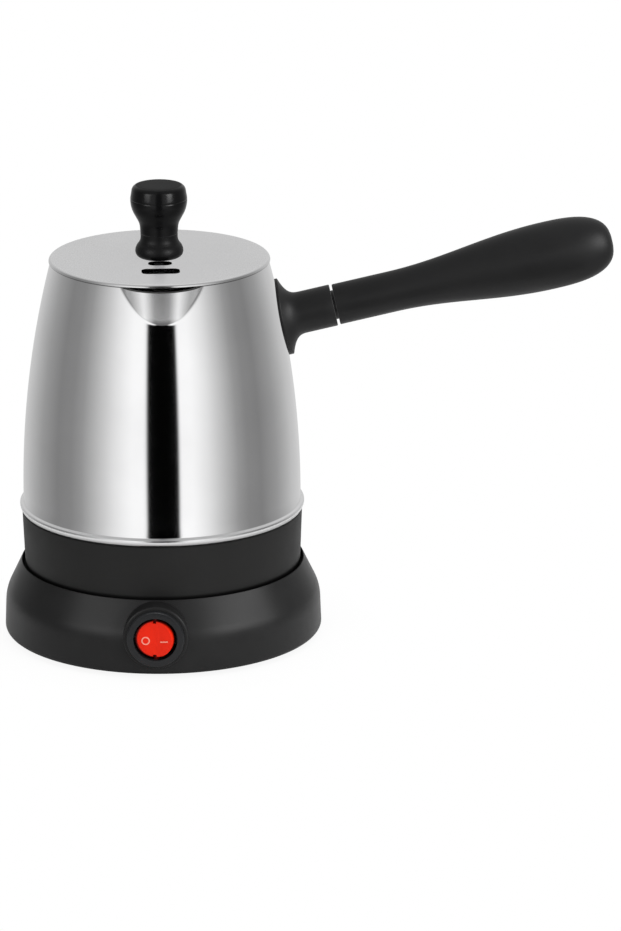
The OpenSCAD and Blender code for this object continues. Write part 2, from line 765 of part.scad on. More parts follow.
module switch_plunger() {
    color("#c0c4c8") at_pivot() rotate_extrude() polygon(concat(
        [[0, -3.4], [0, -plunger_tip]],
        arc([0, -plunger_tip + plunger_r], plunger_r, -90, 0, 6),
        [[plunger_r, -3.4]]));
}

module plunger_spring() {
    wire = 0.22;
    turns = 7;
    coil = plunger_r - wire;
    color("#8d9196") at_pivot() for (i = [0:turns - 1])
        translate([0, 0, -3.4 + wire + i * 1.7 * wire])
            rotate_extrude() translate([coil, 0]) circle(r = wire, $fn = 16);
}

// ----------------------------------------------------------------- pot

module pot_outer_solid() {
    c = [pot_out(bead_z + bead_r), bead_z];
    rotate_extrude() polygon(concat(
        [[0, bead_bottom]],
        arc(c, bead_r, -90, 90, 10),
        pot_side(bead_z + bead_r, rim_z),
        [[0, rim_z]]));
}

module pot_inner_solid() {
    c = [pot_out(bead_z + bead_r), bead_z];
    inside = bead_r - steel_t;
    rotate_extrude() polygon(concat(
        [[0, bead_bottom - 1], [c.x - 1.9, bead_bottom - 1], [c.x - 1.9, bead_z - inside]],
        arc(c, inside, -90, 90, 8),
        pot_side(bead_z + inside, rim_z + 1, steel_t),
        [[0, rim_z + 1]]));
}

// Tilted cone that presses the spout out of the rim
module spout_cone(inset) {
    side = inset / cos(spout_half_angle);
    translate([0, spout_root.x, spout_root.y]) rotate([-spout_tilt, 0, 0])
        cylinder(r1 = spout_nose_r - side,
                 r2 = spout_nose_r - side + spout_len * tan(spout_half_angle), h = spout_len);
}

module pot_shell() {
    color("#c9ccd0") difference() {
        union() {
            pot_outer_solid();
            intersection() {
                spout_cone(0);
                translate([0, 0, bottom_z]) cylinder(r = 2 * pot_r, h = rim_z - bottom_z);
            }
        }
        pot_inner_solid();
        spout_cone(steel_t);
    }
}

module pot_bottom() {
    r = pot_out(bottom_z) - steel_t - 0.2;
    bend = 2.4;
    color("#bfc2c6") rotate_extrude() polygon(concat(
        [[0, bottom_z], [r - bend, bottom_z]],
        arc([r - bend, bottom_z + bottom_t - bend], bend - bottom_t, 90, 0, 5),
        [[r - bottom_t, bottom_z - 3], [r, bottom_z - 3]],
        arc([r - bend, bottom_z + bottom_t - bend], bend, 0, 90, 6),
        [[0, bottom_z + bottom_t]]));
}

module heat_plate() {
    color("#a9adb1") {
        translate([0, 0, plate_z]) cylinder(r = heat_plate_r, h = heat_plate_t);
        // Studs for the pot-side connector
        around(ear_pcr, ear_az) difference() {
            translate([0, 0, cup_plate_top]) cylinder(r = 2.9, h = plate_z - cup_plate_top + 1);
            translate([0, 0, cup_plate_top - 1]) cylinder(r = 1.45, h = 8);
        }
    }
}

module heating_element() {
    color("#8f9296") intersection() {
        union() {
            rotate([0, 0, element_ends[1]]) translate([0, 0, element_z])
                rotate_extrude(angle = 360 - element_gap)
                    translate([element_ring_r, 0]) circle(r = element_tube_r);
            around(element_ring_r, element_ends) {
                translate([0, 0, element_leg_z])
                    cylinder(r = element_tube_r, h = element_z - element_leg_z);
                translate([0, 0, strap_z + strap_t])
                    cylinder(r = element_pin_r, h = element_z - strap_z);
                translate([0, 0, element_z]) sphere(r = element_tube_r);
            }
        }
        translate([0, 0, strap_z]) cylinder(r = pot_r, h = plate_z - strap_z);
    }
}

module thermostat() {
    cap_z = plate_z - thermostat_cap_h;
    color("#c6c2b4") translate([thermostat_x, 0, 0]) {
        difference() {
            union() {
                translate([0, 0, cap_z]) cylinder(r = thermostat_r, h = thermostat_cap_h);
                translate([0, 0, thermostat_body_z])
                    cylinder(r = thermostat_body_r, h = cap_z - thermostat_body_z);
            }
            translate([0, 0, cap_z + 0.8]) cylinder(r = thermostat_r - 1, h = 1.4);
        }
        // Two bent blade terminals
        for (side = [-1, 1]) {
            translate([-3, min(side * thermostat_leg_y, 0), thermostat_body_z])
                cube([6, thermostat_leg_y, 0.8]);
            translate([-3, side * (thermostat_leg_y - 0.4) - 0.4, strap_z + strap_t])
                cube([6, 0.8, thermostat_body_z - strap_z - strap_t + 0.8]);
        }
    }
}

module bimetal_disc() {
    cap_z = plate_z - thermostat_cap_h;
    color("#9a7b52") translate([thermostat_x, 0, cap_z + 1.3])
        cylinder(r1 = thermostat_r - 1.2, r2 = thermostat_r - 1.6, h = 0.4);
}

// A flat strap with round ends between two places
module strap(p, q) {
    d = q - p;
    translate([p.x, p.y, strap_z]) rotate([0, 0, atan2(d.y, d.x)]) {
        translate([0, -strap_w / 2, 0]) cube([norm(d), strap_w, strap_t]);
        cylinder(d = strap_w, h = strap_t);
        translate([norm(d), 0, 0]) cylinder(d = strap_w, h = strap_t);
    }
}

function polar(r, a) = [r * cos(a), r * sin(a)];

pot_ring1_az = 300;
pot_ring2_az = 205;

module heater_straps() {
    color("#c8a24a") {
        strap(polar(element_ring_r, element_ends[0]), [thermostat_x, thermostat_leg_y - 0.4]);
        strap(polar(element_ring_r, element_ends[1]), polar(ring2_r, pot_ring2_az));
        strap([thermostat_x, -thermostat_leg_y + 0.4], polar(ring1_r, pot_ring1_az));
    }
}

module pot_skirt() {
    chamfer = 0.6;
    foot_w = 3;
    color("#232323") difference() {
        rotate_extrude() polygon([
            [skirt_foot_r - foot_w, deck_z], [skirt_foot_r - chamfer, deck_z],
            [skirt_foot_r, deck_z + chamfer], [skirt_top_r - 0.3, bead_bottom - 0.5],
            [skirt_top_r - 0.6, bead_bottom], [skirt_top_r - skirt_wall, bead_bottom],
            [skirt_foot_r - skirt_wall, skirt_floor_top], [skirt_hole_r, skirt_floor_top],
            [skirt_hole_r, skirt_floor_z], [skirt_foot_r - foot_w, skirt_floor_z]]);
        around(post_pcr, post_az) {
            translate([0, 0, skirt_floor_z - 1]) cylinder(r = 1.7, h = skirt_floor_t + 2);
            translate([0, 0, skirt_floor_z - 0.01]) cylinder(r1 = 3.4, r2 = 1.6, h = 1.8);
        }
    }
}

module skirt_posts() {
    color("#aeb1b5") around(post_pcr, post_az) difference() {
        translate([0, 0, skirt_floor_top]) cylinder(r = post_r, h = plate_z - skirt_floor_top);
        translate([0, 0, skirt_floor_top - 1]) cylinder(r = 1.45, h = 9);
    }
}

module skirt_screws() {
    color("#b9bcc0") around(post_pcr, post_az) translate([0, 0, skirt_floor_z + 0.05]) {
        cylinder(r1 = 3.2, r2 = 1.4, h = 1.8);
        cylinder(r = 1.4, h = skirt_screw_l);
    }
}

module pot_connector() {
    color("#161616") difference() {
        union() {
            translate([0, 0, skirt_floor_top]) tube(cup_r + cup_wall, cup_r,
                cup_plate_top - skirt_floor_top);
            translate([0, 0, cup_top]) cylinder(r = cup_r + cup_wall, h = cup_plate_t);
            around(ear_pcr, ear_az) translate([0, 0, cup_top])
                cylinder(r = ear_r, h = cup_plate_t);
            for (a = ear_az) rotate([0, 0, a]) translate([cup_r, -ear_r, cup_top])
                cube([ear_pcr - cup_r, 2 * ear_r, cup_plate_t]);
        }
        around(ear_pcr, ear_az) translate([0, 0, cup_top - 1]) cylinder(r = 1.7, h = cup_plate_t + 2);
        translate([0, 0, cup_top - 1]) cylinder(r = earth_pin_r + fit, h = cup_plate_t + 2);
        around(ring1_r, [pot_ring1_az]) translate([-ring_t / 2 - fit, -1.6, cup_top - 1])
            cube([ring_t + 2 * fit, 3.2, cup_plate_t + 2]);
        around(ring2_r, [pot_ring2_az]) translate([-ring_t / 2 - fit, -1.6, cup_top - 1])
            cube([ring_t + 2 * fit, 3.2, cup_plate_t + 2]);
    }
}

// Earth pin and the two contact rings that hang under the pot
module pot_contacts() {
    color("#c8a24a") {
        rotate_extrude() polygon(concat(
            [[0, pin_bottom]], arc([earth_pin_r - 1, pin_bottom + 1], 1, -90, 0, 4),
            [[earth_pin_r, pot_tail_top], [0, pot_tail_top]]));
        for (ring = [[ring1_r, pot_ring1_az], [ring2_r, pot_ring2_az]]) {
            translate([0, 0, ring_bottom])
                tube(ring[0] + ring_t / 2, ring[0] - ring_t / 2, cup_top - ring_bottom);
            around(ring[0], [ring[1]]) translate([-ring_t / 2, -1.5, cup_top - 1])
                cube([ring_t, 3, pot_tail_top - cup_top + 1]);
        }
    }
}

module pot_connector_screws() {
    color("#b9bcc0") around(ear_pcr, ear_az)
        translate([0, 0, cup_top - 1.8]) pan_screw(1.4, pot_screw_l, screw_head_r, 1.8);
}

// -------------------------------------------------------------- handle

// A box along the handle for the bracket's plate, grown by extra
module bracket_box(extra) {
    at_handle() translate([-8, -bracket.y / 2 - extra, -bracket.x / 2 - extra])
        cube([8 + bracket_t + 0.5 + extra, bracket.y + 2 * extra, bracket.x + 2 * extra]);
}

module handle_bracket() {
    color("#b4b7bb") difference() {
        union() {
            intersection() {
                rotate_extrude() polygon(concat(
                    pot_side(handle_z - 20, handle_z + 20, -fit / 2, 10),
                    [for (p = pot_side(handle_z + 20, handle_z - 20, -fit / 2 - bracket_t, 10)) p]));
                bracket_box(0);
            }
            at_handle() x_rod(0.8, 6, 4);
        }
        at_handle() x_rod(0.4, 8, stud_r);
    }
}

module handle_stud() {
    color("#c3c6ca") at_handle() x_rod(0.4, stud_end, stud_r);
}

// Half height of the ferrule at u: flange with a soft edge, bell, neck
function ferrule_h(u) = let(edge = flange_t - 0.3)
    u <= edge ? flange_h
    : u <= flange_t ? flange_h - 0.4 * pow((u - edge) / 0.3, 2)
    : u < bell_end ? neck_h + (flange_h - 0.4 - neck_h)
        * pow(1 - (u - flange_t) / (bell_end - flange_t), 3.4)
    : neck_h;

function ferrule_w(u) =
    neck_w + (flange_w - neck_w) * (ferrule_h(u) - neck_h) / (flange_h - neck_h);

// A section of the ferrule at u, bent round the pot as far as share says
function ferrule_ring(u, share) = [for (p = oval(u, ferrule_h(u), ferrule_w(u)))
    p - [share * (handle_x - sqrt(pow(handle_x, 2) - pow(p.y, 2))), 0, 0]];

module handle_ferrule() {
    bell_u = [for (t = [0, 0.03, 0.07, 0.12, 0.18, 0.26, 0.36, 0.48, 0.62, 0.8, 1])
        flange_t + (bell_end - flange_t) * t];
    ring_u = concat([flange_t - 0.3, flange_t - 0.1], bell_u);
    color("#1a1a1b") difference() {
        at_handle() loft(concat(
            [ferrule_ring(-7, 0)],
            [for (u = ring_u) ferrule_ring(u, pow(1 - max(u - flange_t, 0) / bell_end, 2))],
            [ferrule_ring(ferrule_len, 0)]));
        rotate_extrude($fn = 144) polygon(concat(
            [[0, handle_z - flange_reach]],
            pot_side(handle_z - flange_reach, rim_z, -fit, 16),
            [[0, rim_z]]));
        bracket_box(0.2);
        at_handle() {
            x_rod(0, 6.4, 4.3);
            x_rod(0, ferrule_len, stud_r + 0.2);
            x_rod(spigot_u - 0.3, ferrule_len + 1, spigot_r + 0.2);
        }
    }
}

// Half height of the grip at u: slim start, swell, round end
function grip_h(u) =
    u < swell_u ? grip_slim_h
    : u < full_u
        ? grip_slim_h + (grip_full_h - grip_slim_h)
            * (1 - cos(180 * (u - swell_u) / (full_u - swell_u))) / 2
        : grip_full_h * pow(max(0, 1 - pow((u - full_u) / (grip_end - full_u), 2.8)), 1 / 2.8);

module handle_grip() {
    body_u = concat([grip_u], [for (i = [0:19]) swell_u + (full_u - swell_u) * i / 19]);
    end_u = [for (a = [8:8:80]) full_u + (grip_end - full_u) * sin(a)];
    cap_u = [for (s = [0.993, 0.998]) full_u + (grip_end - full_u) * s];
    start = 0.5;
    color("#1c1c1d") at_handle() difference() {
        union() {
            loft(concat(
                [oval(grip_u, grip_h(grip_u) - start, (grip_h(grip_u) - start) * grip_oval)],
                [for (u = concat([grip_u + start], [for (i = [1:20]) body_u[i]], end_u, cap_u))
                    oval(u, grip_h(u), grip_h(u) * grip_oval)]));
            x_rod(spigot_u, grip_u + 1, spigot_r);
        }
        x_rod(spigot_u - 1, stud_end + 1, stud_r + 0.2);
        x_rod(insert_u[0] - 0.2, insert_u[1] + 0.2, insert_r + 0.2);
    }
}

// Brass nut moulded into the grip
module grip_insert() {
    color("#c8a24a") at_handle() difference() {
        union() {
            x_rod(insert_u[0], insert_u[1], insert_r - 0.6);
            for (u = [0, 6, 12]) x_rod(insert_u[0] + u, insert_u[0] + u + 4, insert_r);
        }
        x_rod(insert_u[0] - 1, insert_u[1] + 1, stud_r + running);
    }
}

// ----------------------------------------------------------------- lid

module lid_slots(extra) {
    translate([0, -slot1_y, lid_under - 3]) round_slot(slot1_len + extra, slot1_w + extra, 8);
    translate([0, -slot2_y, lid_under - 3]) round_slot(slot2_len + extra, slot2_w + extra, 8);
}

module lid_plate() {
    color("#c4c7ca") difference() {
        rotate_extrude() polygon(concat(
            [[knob_screw_r + 0.2, lid_under], [hem_r, lid_under], [hem_r, rim_z]],
            arc([lid_r - lid_edge_t / 2, rim_z + lid_edge_t / 2], lid_edge_t / 2, -90, 90, 8),
            [[knob_screw_r + 0.2, lid_top]]));
        lid_slots(0);
    }
}

// Ring under the lid that drops inside the rim, open towards the spout
module lid_ring() {
    foot = rim_z - lid_ring_h;
    color("#b6b9bd") difference() {
        rotate_extrude() polygon([
            [lid_ring_r - lid_ring_flange, lid_under - lid_ring_t],
            [lid_ring_r - lid_ring_t, lid_under - lid_ring_t],
            [lid_ring_r - lid_ring_t, foot], [lid_ring_r, foot], [lid_ring_r, lid_under],
            [lid_ring_r - lid_ring_flange, lid_under]]);
        translate([-lid_ring_notch / 2, -lid_ring_r - 2, foot - 1])
            cube([lid_ring_notch, lid_ring_flange + 4, lid_under - foot + 2]);
    }
}

module lid_knob() {
    under_r = 2.6;
    bulge_r = 4.5;
    bulge_a = 44;
    foot_end = knob_foot_r - bulge_r * (1 - cos(bulge_a));
    groove_z = 9.7;
    waist = [knob_neck_r + 0.26, 12.4];
    flare_r = 7.2;
    flare_c = waist + flare_r * [cos(5), -sin(5)];
    crease_z = knob_h - 5.8;
    swell_r = 12;
    corner_r = 2.6;
    color("#141414") translate([0, 0, lid_top]) difference() {
        rotate_extrude() polygon(concat(
            [[0, 0]],
            arc([knob_foot_r - under_r, under_r], under_r, -90, 0, 8),
            arc([knob_foot_r - bulge_r, under_r], bulge_r, 6, bulge_a, 6),
            [for (p = [[0.67, 6.25], [0.34, 6.8], [0.13, 7.5], [0.03, 8.3]])
                [knob_neck_r + p[0] * (foot_end - knob_neck_r), p[1]]],
            [[knob_neck_r + 0.04, groove_z - 0.25], [knob_neck_r - 0.18, groove_z],
             [knob_neck_r + 0.04, groove_z + 0.25]],
            arc(flare_c, flare_r, 175, 151.5, 5),
            arc([knob_head_r - swell_r, crease_z - 0.2], swell_r, -29.4, -0.5, 7),
            [[knob_head_r - 0.14, crease_z], [knob_head_r, crease_z + 0.2],
             [knob_head_r - 0.07, crease_z + 0.7], [knob_head_r - 0.32, crease_z + 2.3]],
            arc([knob_head_r - 0.5 - corner_r, knob_h - corner_r], corner_r, 12, 88, 7),
            [[0, knob_h]]));
        translate([0, 0, -1]) cylinder(r = knob_screw_r + 0.1, h = 13);
    }
}

module knob_screw() {
    head_h = 2.2;
    color("#b9bcc0") translate([0, 0, lid_under - washer_t - head_h])
        pan_screw(knob_screw_r, knob_screw_l, 3.8, head_h);
}

module knob_washer() {
    color("#b2b5b9") translate([0, 0, lid_under - washer_t])
        tube(washer_r, knob_screw_r + 0.2, washer_t);
}

base_shell();
base_cover();
cover_screws();
foot_ring();
base_connector();
connector_contacts();
connector_screws();
cord_gland();
switch_lead();
switch_housing();
switch_terminals();
neon_lamp();
switch_contact();
switch_rocker();
switch_plunger();
plunger_spring();
pot_shell();
pot_bottom();
heat_plate();
heating_element();
thermostat();
bimetal_disc();
heater_straps();
pot_skirt();
skirt_posts();
skirt_screws();
pot_connector();
pot_contacts();
pot_connector_screws();
handle_bracket();
handle_stud();
handle_ferrule();
handle_grip();
grip_insert();
lid_plate();
lid_ring();
lid_knob();
knob_screw();
knob_washer();
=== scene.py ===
import json
import math

import bmesh
import bpy
from mathutils import Matrix, Vector


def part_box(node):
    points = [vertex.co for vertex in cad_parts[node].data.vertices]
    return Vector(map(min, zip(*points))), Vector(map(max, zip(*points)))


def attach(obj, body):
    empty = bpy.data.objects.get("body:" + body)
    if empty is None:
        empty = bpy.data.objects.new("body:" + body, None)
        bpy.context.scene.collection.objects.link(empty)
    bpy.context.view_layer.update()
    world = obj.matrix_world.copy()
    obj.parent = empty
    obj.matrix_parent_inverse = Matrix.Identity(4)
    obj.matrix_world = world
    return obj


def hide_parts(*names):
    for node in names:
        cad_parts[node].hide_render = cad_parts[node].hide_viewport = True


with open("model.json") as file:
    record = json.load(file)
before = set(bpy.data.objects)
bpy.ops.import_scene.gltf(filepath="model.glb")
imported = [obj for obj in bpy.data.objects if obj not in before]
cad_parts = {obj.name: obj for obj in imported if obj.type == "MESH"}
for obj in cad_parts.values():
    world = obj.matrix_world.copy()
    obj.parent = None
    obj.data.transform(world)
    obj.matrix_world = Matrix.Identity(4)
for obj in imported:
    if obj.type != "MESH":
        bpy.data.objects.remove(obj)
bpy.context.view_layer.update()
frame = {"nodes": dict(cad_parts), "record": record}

MM = 0.001
table_r = 0.2


# ------------------------------------------------------------ camera and light

def set_camera():
    turn, rise, roll, distance = math.radians(-2.75), math.radians(17), math.radians(-0.2), 2.2
    target = Vector((0.0598, 0, 0.0674))
    away = Vector((math.sin(turn) * math.cos(rise), -math.cos(turn) * math.cos(rise), math.sin(rise)))
    lens = bpy.data.cameras.new("photo_camera")
    lens.sensor_width = 36
    lens.lens = 211.4
    lens.clip_end = 20
    camera = bpy.data.objects.new("photo_camera", lens)
    bpy.context.scene.collection.objects.link(camera)
    camera.location = target + distance * away
    level_view = away.to_track_quat("Z", "Y").to_matrix()
    camera.rotation_euler = (level_view @ Matrix.Rotation(roll, 3, "Z")).to_euler()
    bpy.context.scene.camera = camera


def ramp(nodes, stops):
    """A colour ramp of greys: stops are (place, level)."""
    node = nodes.new("ShaderNodeValToRGB")
    line = node.color_ramp
    while len(line.elements) > 1:
        line.elements.remove(line.elements[-1])
    line.elements[0].position = stops[0][0]
    line.elements[0].color = (*[stops[0][1]] * 3, 1)
    for place, level in stops[1:]:
        line.elements.new(place).color = (*[level] * 3, 1)
    return node


def calc(nodes, links, kind, a, b=None, c=None):
    """One calculation; a, b and c are links or numbers."""
    node = nodes.new("ShaderNodeMath")
    node.operation = kind
    for socket, value in zip(node.inputs, (a, b, c)):
        if value is None:
            continue
        if isinstance(value, (int, float)):
            socket.default_value = value
        else:
            links.new(value, socket)
    return node.outputs[0]


def set_studio():
    """A round studio: a dark slot behind the lens, bright walls beside it, grey flanks and a pale back.

    The ramps run from the front, 0, to the back, 180 degrees.
    """
    world = bpy.data.worlds.new("studio")
    bpy.context.scene.world = world
    world.use_nodes = True
    nodes, links = world.node_tree.nodes, world.node_tree.links
    nodes.clear()
    place = nodes.new("ShaderNodeTexCoord")
    split = nodes.new("ShaderNodeSeparateXYZ")
    links.new(place.outputs["Generated"], split.inputs[0])
    x, y, z = split.outputs
    side = calc(nodes, links, "ARCTAN2", x, calc(nodes, links, "MULTIPLY", y, -1))
    side = calc(nodes, links, "ADD", side, math.radians(0.1))
    # The right flank runs a little ahead of the left one
    right = calc(nodes, links, "SUBTRACT", calc(nodes, links, "MULTIPLY", side, 1.11), math.radians(1.3))
    side = calc(nodes, links, "MAXIMUM", calc(nodes, links, "ABSOLUTE", side), right)
    side = calc(nodes, links, "DIVIDE", side, math.pi)
    walls, low, floor, high = (ramp(nodes, [(turn / 180, grey) for turn, grey in stops]) for stops in (
        [(12.2, 0.0), (14.6, 0.86), (17, 0.93), (26, 0.92), (32, 0.86), (41, 0.74), (51, 0.57), (61, 0.42),
         (71, 0.29), (82, 0.225), (98, 0.205), (120, 0.3), (150, 0.5), (178, 0.61)],
        [(0, 0.13), (24, 0.17), (40, 0.55), (54, 0.85), (72, 0.6), (95, 0.38), (120, 0.5), (178, 0.6)],
        [(0, 0.2), (14, 0.22), (28, 0.75), (66, 0.75), (84, 0.42), (100, 0.3), (178, 0.5)],
        [(0, 0.12), (20, 0.3), (50, 0.45), (90, 0.42), (150, 0.62), (178, 0.72)]))
    half = calc(nodes, links, "MULTIPLY_ADD", z, 0.5, 0.5)
    mixed = walls.outputs[0]
    links.new(side, walls.inputs[0])
    for stops, other in (([(0.235, 1.0), (0.3, 0.0)], low), ([(0.06, 1.0), (0.11, 0.0)], floor),
                         ([(0.74, 0.0), (0.9, 1.0)], high)):
        weight = ramp(nodes, stops)
        links.new(side, other.inputs[0])
        links.new(half, weight.inputs[0])
        mix = nodes.new("ShaderNodeMix")
        mix.data_type = "RGBA"
        links.new(weight.outputs[0], mix.inputs["Factor"])
        links.new(mixed, mix.inputs["A"])
        links.new(other.outputs[0], mix.inputs["B"])
        mixed = mix.outputs["Result"]
    studio = nodes.new("ShaderNodeBackground")
    links.new(mixed, studio.inputs[0])
    studio.inputs[1].default_value = 1.05
    white = nodes.new("ShaderNodeBackground")
    white.inputs[0].default_value = (1, 1, 1, 1)
    white.inputs[1].default_value = 1.0
    seen = nodes.new("ShaderNodeLightPath")
    choose = nodes.new("ShaderNodeMixShader")
    links.new(seen.outputs["Is Camera Ray"], choose.inputs[0])
    links.new(studio.outputs[0], choose.inputs[1])
    links.new(white.outputs[0], choose.inputs[2])
    out = nodes.new("ShaderNodeOutputWorld")
    links.new(choose.outputs[0], out.inputs[0])


def add_lamp(name, place, size, power, aim=(0, 0, 0.08), only_on=()):
    """A soft box; one that is only on some pieces also shows in their gloss."""
    light = bpy.data.lights.new(name, "AREA")
    light.shape = "RECTANGLE"
    light.size, light.size_y = size
    light.energy = power
    lamp = bpy.data.objects.new(name, light)
    bpy.context.scene.collection.objects.link(lamp)
    lamp.location = place
    lamp.rotation_euler = (Vector(place) - Vector(aim)).to_track_quat("Z", "Y").to_euler()
    lamp.visible_camera = False
    lamp.visible_glossy = bool(only_on)
    if only_on:
        lit = bpy.data.collections.new(name + "_lights")
        for piece in only_on:
            lit.objects.link(piece)
        lamp.light_linking.receiver_collection = lit


def box_at(name, aim, side, rise, distance, size, radiance, pieces):
    """A soft box in a direction from a place on the part, in degrees from the front and up."""
    a, e = math.radians(side), math.radians(rise)
    aim = Vector(aim) * MM
    place = aim + distance * Vector((math.sin(a) * math.cos(e), -math.cos(a) * math.cos(e), math.sin(e)))
    add_lamp(name, place, size, radiance * math.pi * size[0] * size[1], aim, pieces)


def add_floor():
    """A small round white table top that keeps a faint shadow under the base."""
    pick_nothing()
    bpy.ops.mesh.primitive_circle_add(vertices=96, radius=table_r, fill_type="NGON", location=(0, 0, -0.0002))
    floor = bpy.context.object
    floor.name = "table"
    settle()
    finish = bpy.data.materials.new("table_white")
    finish.use_nodes = True
    nodes, links = finish.node_tree.nodes, finish.node_tree.links
    nodes.clear()
    cloth = nodes.new("ShaderNodeBsdfDiffuse")
    cloth.inputs[0].default_value = (0.92, 0.92, 0.92, 1)
    white = nodes.new("ShaderNodeEmission")
    seen = nodes.new("ShaderNodeLightPath")
    place = nodes.new("ShaderNodeTexCoord")
    reach = nodes.new("ShaderNodeVectorMath")
    reach.operation = "LENGTH"
    links.new(place.outputs["Object"], reach.inputs[0])
    fade = ramp(nodes, [(0.058, 0.9), (0.07, 0.96), (0.09, 1.0)])
    links.new(reach.outputs["Value"], fade.inputs[0])
    share = calc(nodes, links, "MULTIPLY", fade.outputs[0], seen.outputs["Is Camera Ray"])
    mix = nodes.new("ShaderNodeMixShader")
    links.new(share, mix.inputs[0])
    links.new(cloth.outputs[0], mix.inputs[1])
    links.new(white.outputs[0], mix.inputs[2])
    out = nodes.new("ShaderNodeOutputMaterial")
    links.new(mix.outputs[0], out.inputs[0])
    floor.data.materials.append(finish)


# ------------------------------------------------------------ finishes

def parts_of(finish):
    """The nodes, links and shader of a finish."""
    nodes = finish.node_tree.nodes
    return nodes, finish.node_tree.links, nodes["Principled BSDF"]


def new_finish(name):
    finish = bpy.data.materials.new(name)
    finish.use_nodes = True
    return finish, *parts_of(finish)


def object_place(nodes):
    return nodes.new("ShaderNodeTexCoord").outputs["Object"]


def grain(nodes, links, scale, detail, stretch=(1, 1, 1)):
    """A noise that follows the piece, stretched along its axes."""
    spread = nodes.new("ShaderNodeMapping")
    spread.inputs["Scale"].default_value = stretch
    noise = nodes.new("ShaderNodeTexNoise")
    noise.inputs["Scale"].default_value = scale
    noise.inputs["Detail"].default_value = detail
    links.new(object_place(nodes), spread.inputs[0])
    links.new(spread.outputs[0], noise.inputs["Vector"])
    return noise.outputs["Fac"]


def level(nodes, links, source, low, high, start=0.3, end=0.7):
    """Maps a noise onto a range of values."""
    node = nodes.new("ShaderNodeMapRange")
    node.inputs["From Min"].default_value = start
    node.inputs["From Max"].default_value = end
    node.inputs["To Min"].default_value = low
    node.inputs["To Max"].default_value = high
    links.new(source, node.inputs["Value"])
    return node.outputs["Result"]


def tint(nodes, links, source, dark, light):
    """Maps a noise onto the way from a dark tone to a light one."""
    node = nodes.new("ShaderNodeValToRGB")
    for element, place, colour in zip(node.color_ramp.elements, (0.3, 0.7), (dark, light)):
        element.position = place
        element.color = (*colour, 1)
    links.new(source, node.inputs[0])
    return node.outputs[0]


def relief(nodes, links, bsdf, source, depth):
    bump = nodes.new("ShaderNodeBump")
    bump.inputs["Distance"].default_value = depth
    bump.inputs["Strength"].default_value = 1
    links.new(source, bump.inputs["Height"])
    links.new(bump.outputs[0], bsdf.inputs["Normal"])


def shade(colour, factor):
    return tuple(min(1.0, c * factor) for c in colour)


def clouded(nodes, links, bsdf, source, colour, cloud):
    """A base colour that drifts a little lighter and darker."""
    tone = tint(nodes, links, source, shade(colour, 1 - cloud), shade(colour, 1 + cloud))
    links.new(tone, bsdf.inputs["Base Color"])


def metal(name, colour, rough, lines=(1, 1, 1), scale=900, depth=0.000002, cloud=0.04):
    """Bare metal: fine finishing lines, and slight clouds in its tone and polish."""
    finish, nodes, links, bsdf = new_finish(name)
    bsdf.inputs["Metallic"].default_value = 1
    clouded(nodes, links, bsdf, grain(nodes, links, 28, 4), colour, cloud)
    fine = grain(nodes, links, scale, 2, lines)
    links.new(level(nodes, links, fine, rough * 0.75, rough * 1.25), bsdf.inputs["Roughness"])
    relief(nodes, links, bsdf, fine, depth)
    return finish


def plastic(name, colour, rough, scale=2600, depth=0.000012, cloud=0.12, specular=0.5):
    """Moulded plastic: spark-eroded grain, faint flow clouds, and a varying sheen."""
    finish, nodes, links, bsdf = new_finish(name)
    clouds = grain(nodes, links, 55, 5)
    clouded(nodes, links, bsdf, clouds, colour, cloud)
    links.new(level(nodes, links, clouds, rough * 0.9, rough * 1.1), bsdf.inputs["Roughness"])
    bsdf.inputs["Specular IOR Level"].default_value = specular
    relief(nodes, links, bsdf, grain(nodes, links, scale, 2), depth)
    return finish


def at_height(nodes, links, low, high, start, end):
    """A value that goes from low to high between two heights in millimetres."""
    split = nodes.new("ShaderNodeSeparateXYZ")
    links.new(object_place(nodes), split.inputs[0])
    return level(nodes, links, split.outputs[2], low, high, start * MM, end * MM)


def from_axis(nodes, links, place):
    """Distance from the Z axis of a place."""
    flat = nodes.new("ShaderNodeVectorMath")
    flat.operation = "MULTIPLY"
    flat.inputs[1].default_value = (1, 1, 0)
    links.new(place, flat.inputs[0])
    reach = nodes.new("ShaderNodeVectorMath")
    reach.operation = "LENGTH"
    links.new(flat.outputs[0], reach.inputs[0])
    return reach.outputs["Value"]


def change(nodes, links, bsdf, socket, kind, amount):
    """Adds an amount to a socket that a pattern already drives, or multiplies it."""
    links.new(calc(nodes, links, kind, bsdf.inputs[socket].links[0].from_socket, amount), bsdf.inputs[socket])


def paint_shade(nodes, links, bsdf, share, colour):
    """Paints shade: takes the base colour towards a darker one where the share is 1."""
    mix = nodes.new("ShaderNodeMix")
    mix.data_type = "RGBA"
    links.new(share, mix.inputs["Factor"])
    links.new(bsdf.inputs["Base Color"].links[0].from_socket, mix.inputs["A"])
    mix.inputs["B"].default_value = (*colour, 1)
    links.new(mix.outputs["Result"], bsdf.inputs["Base Color"])


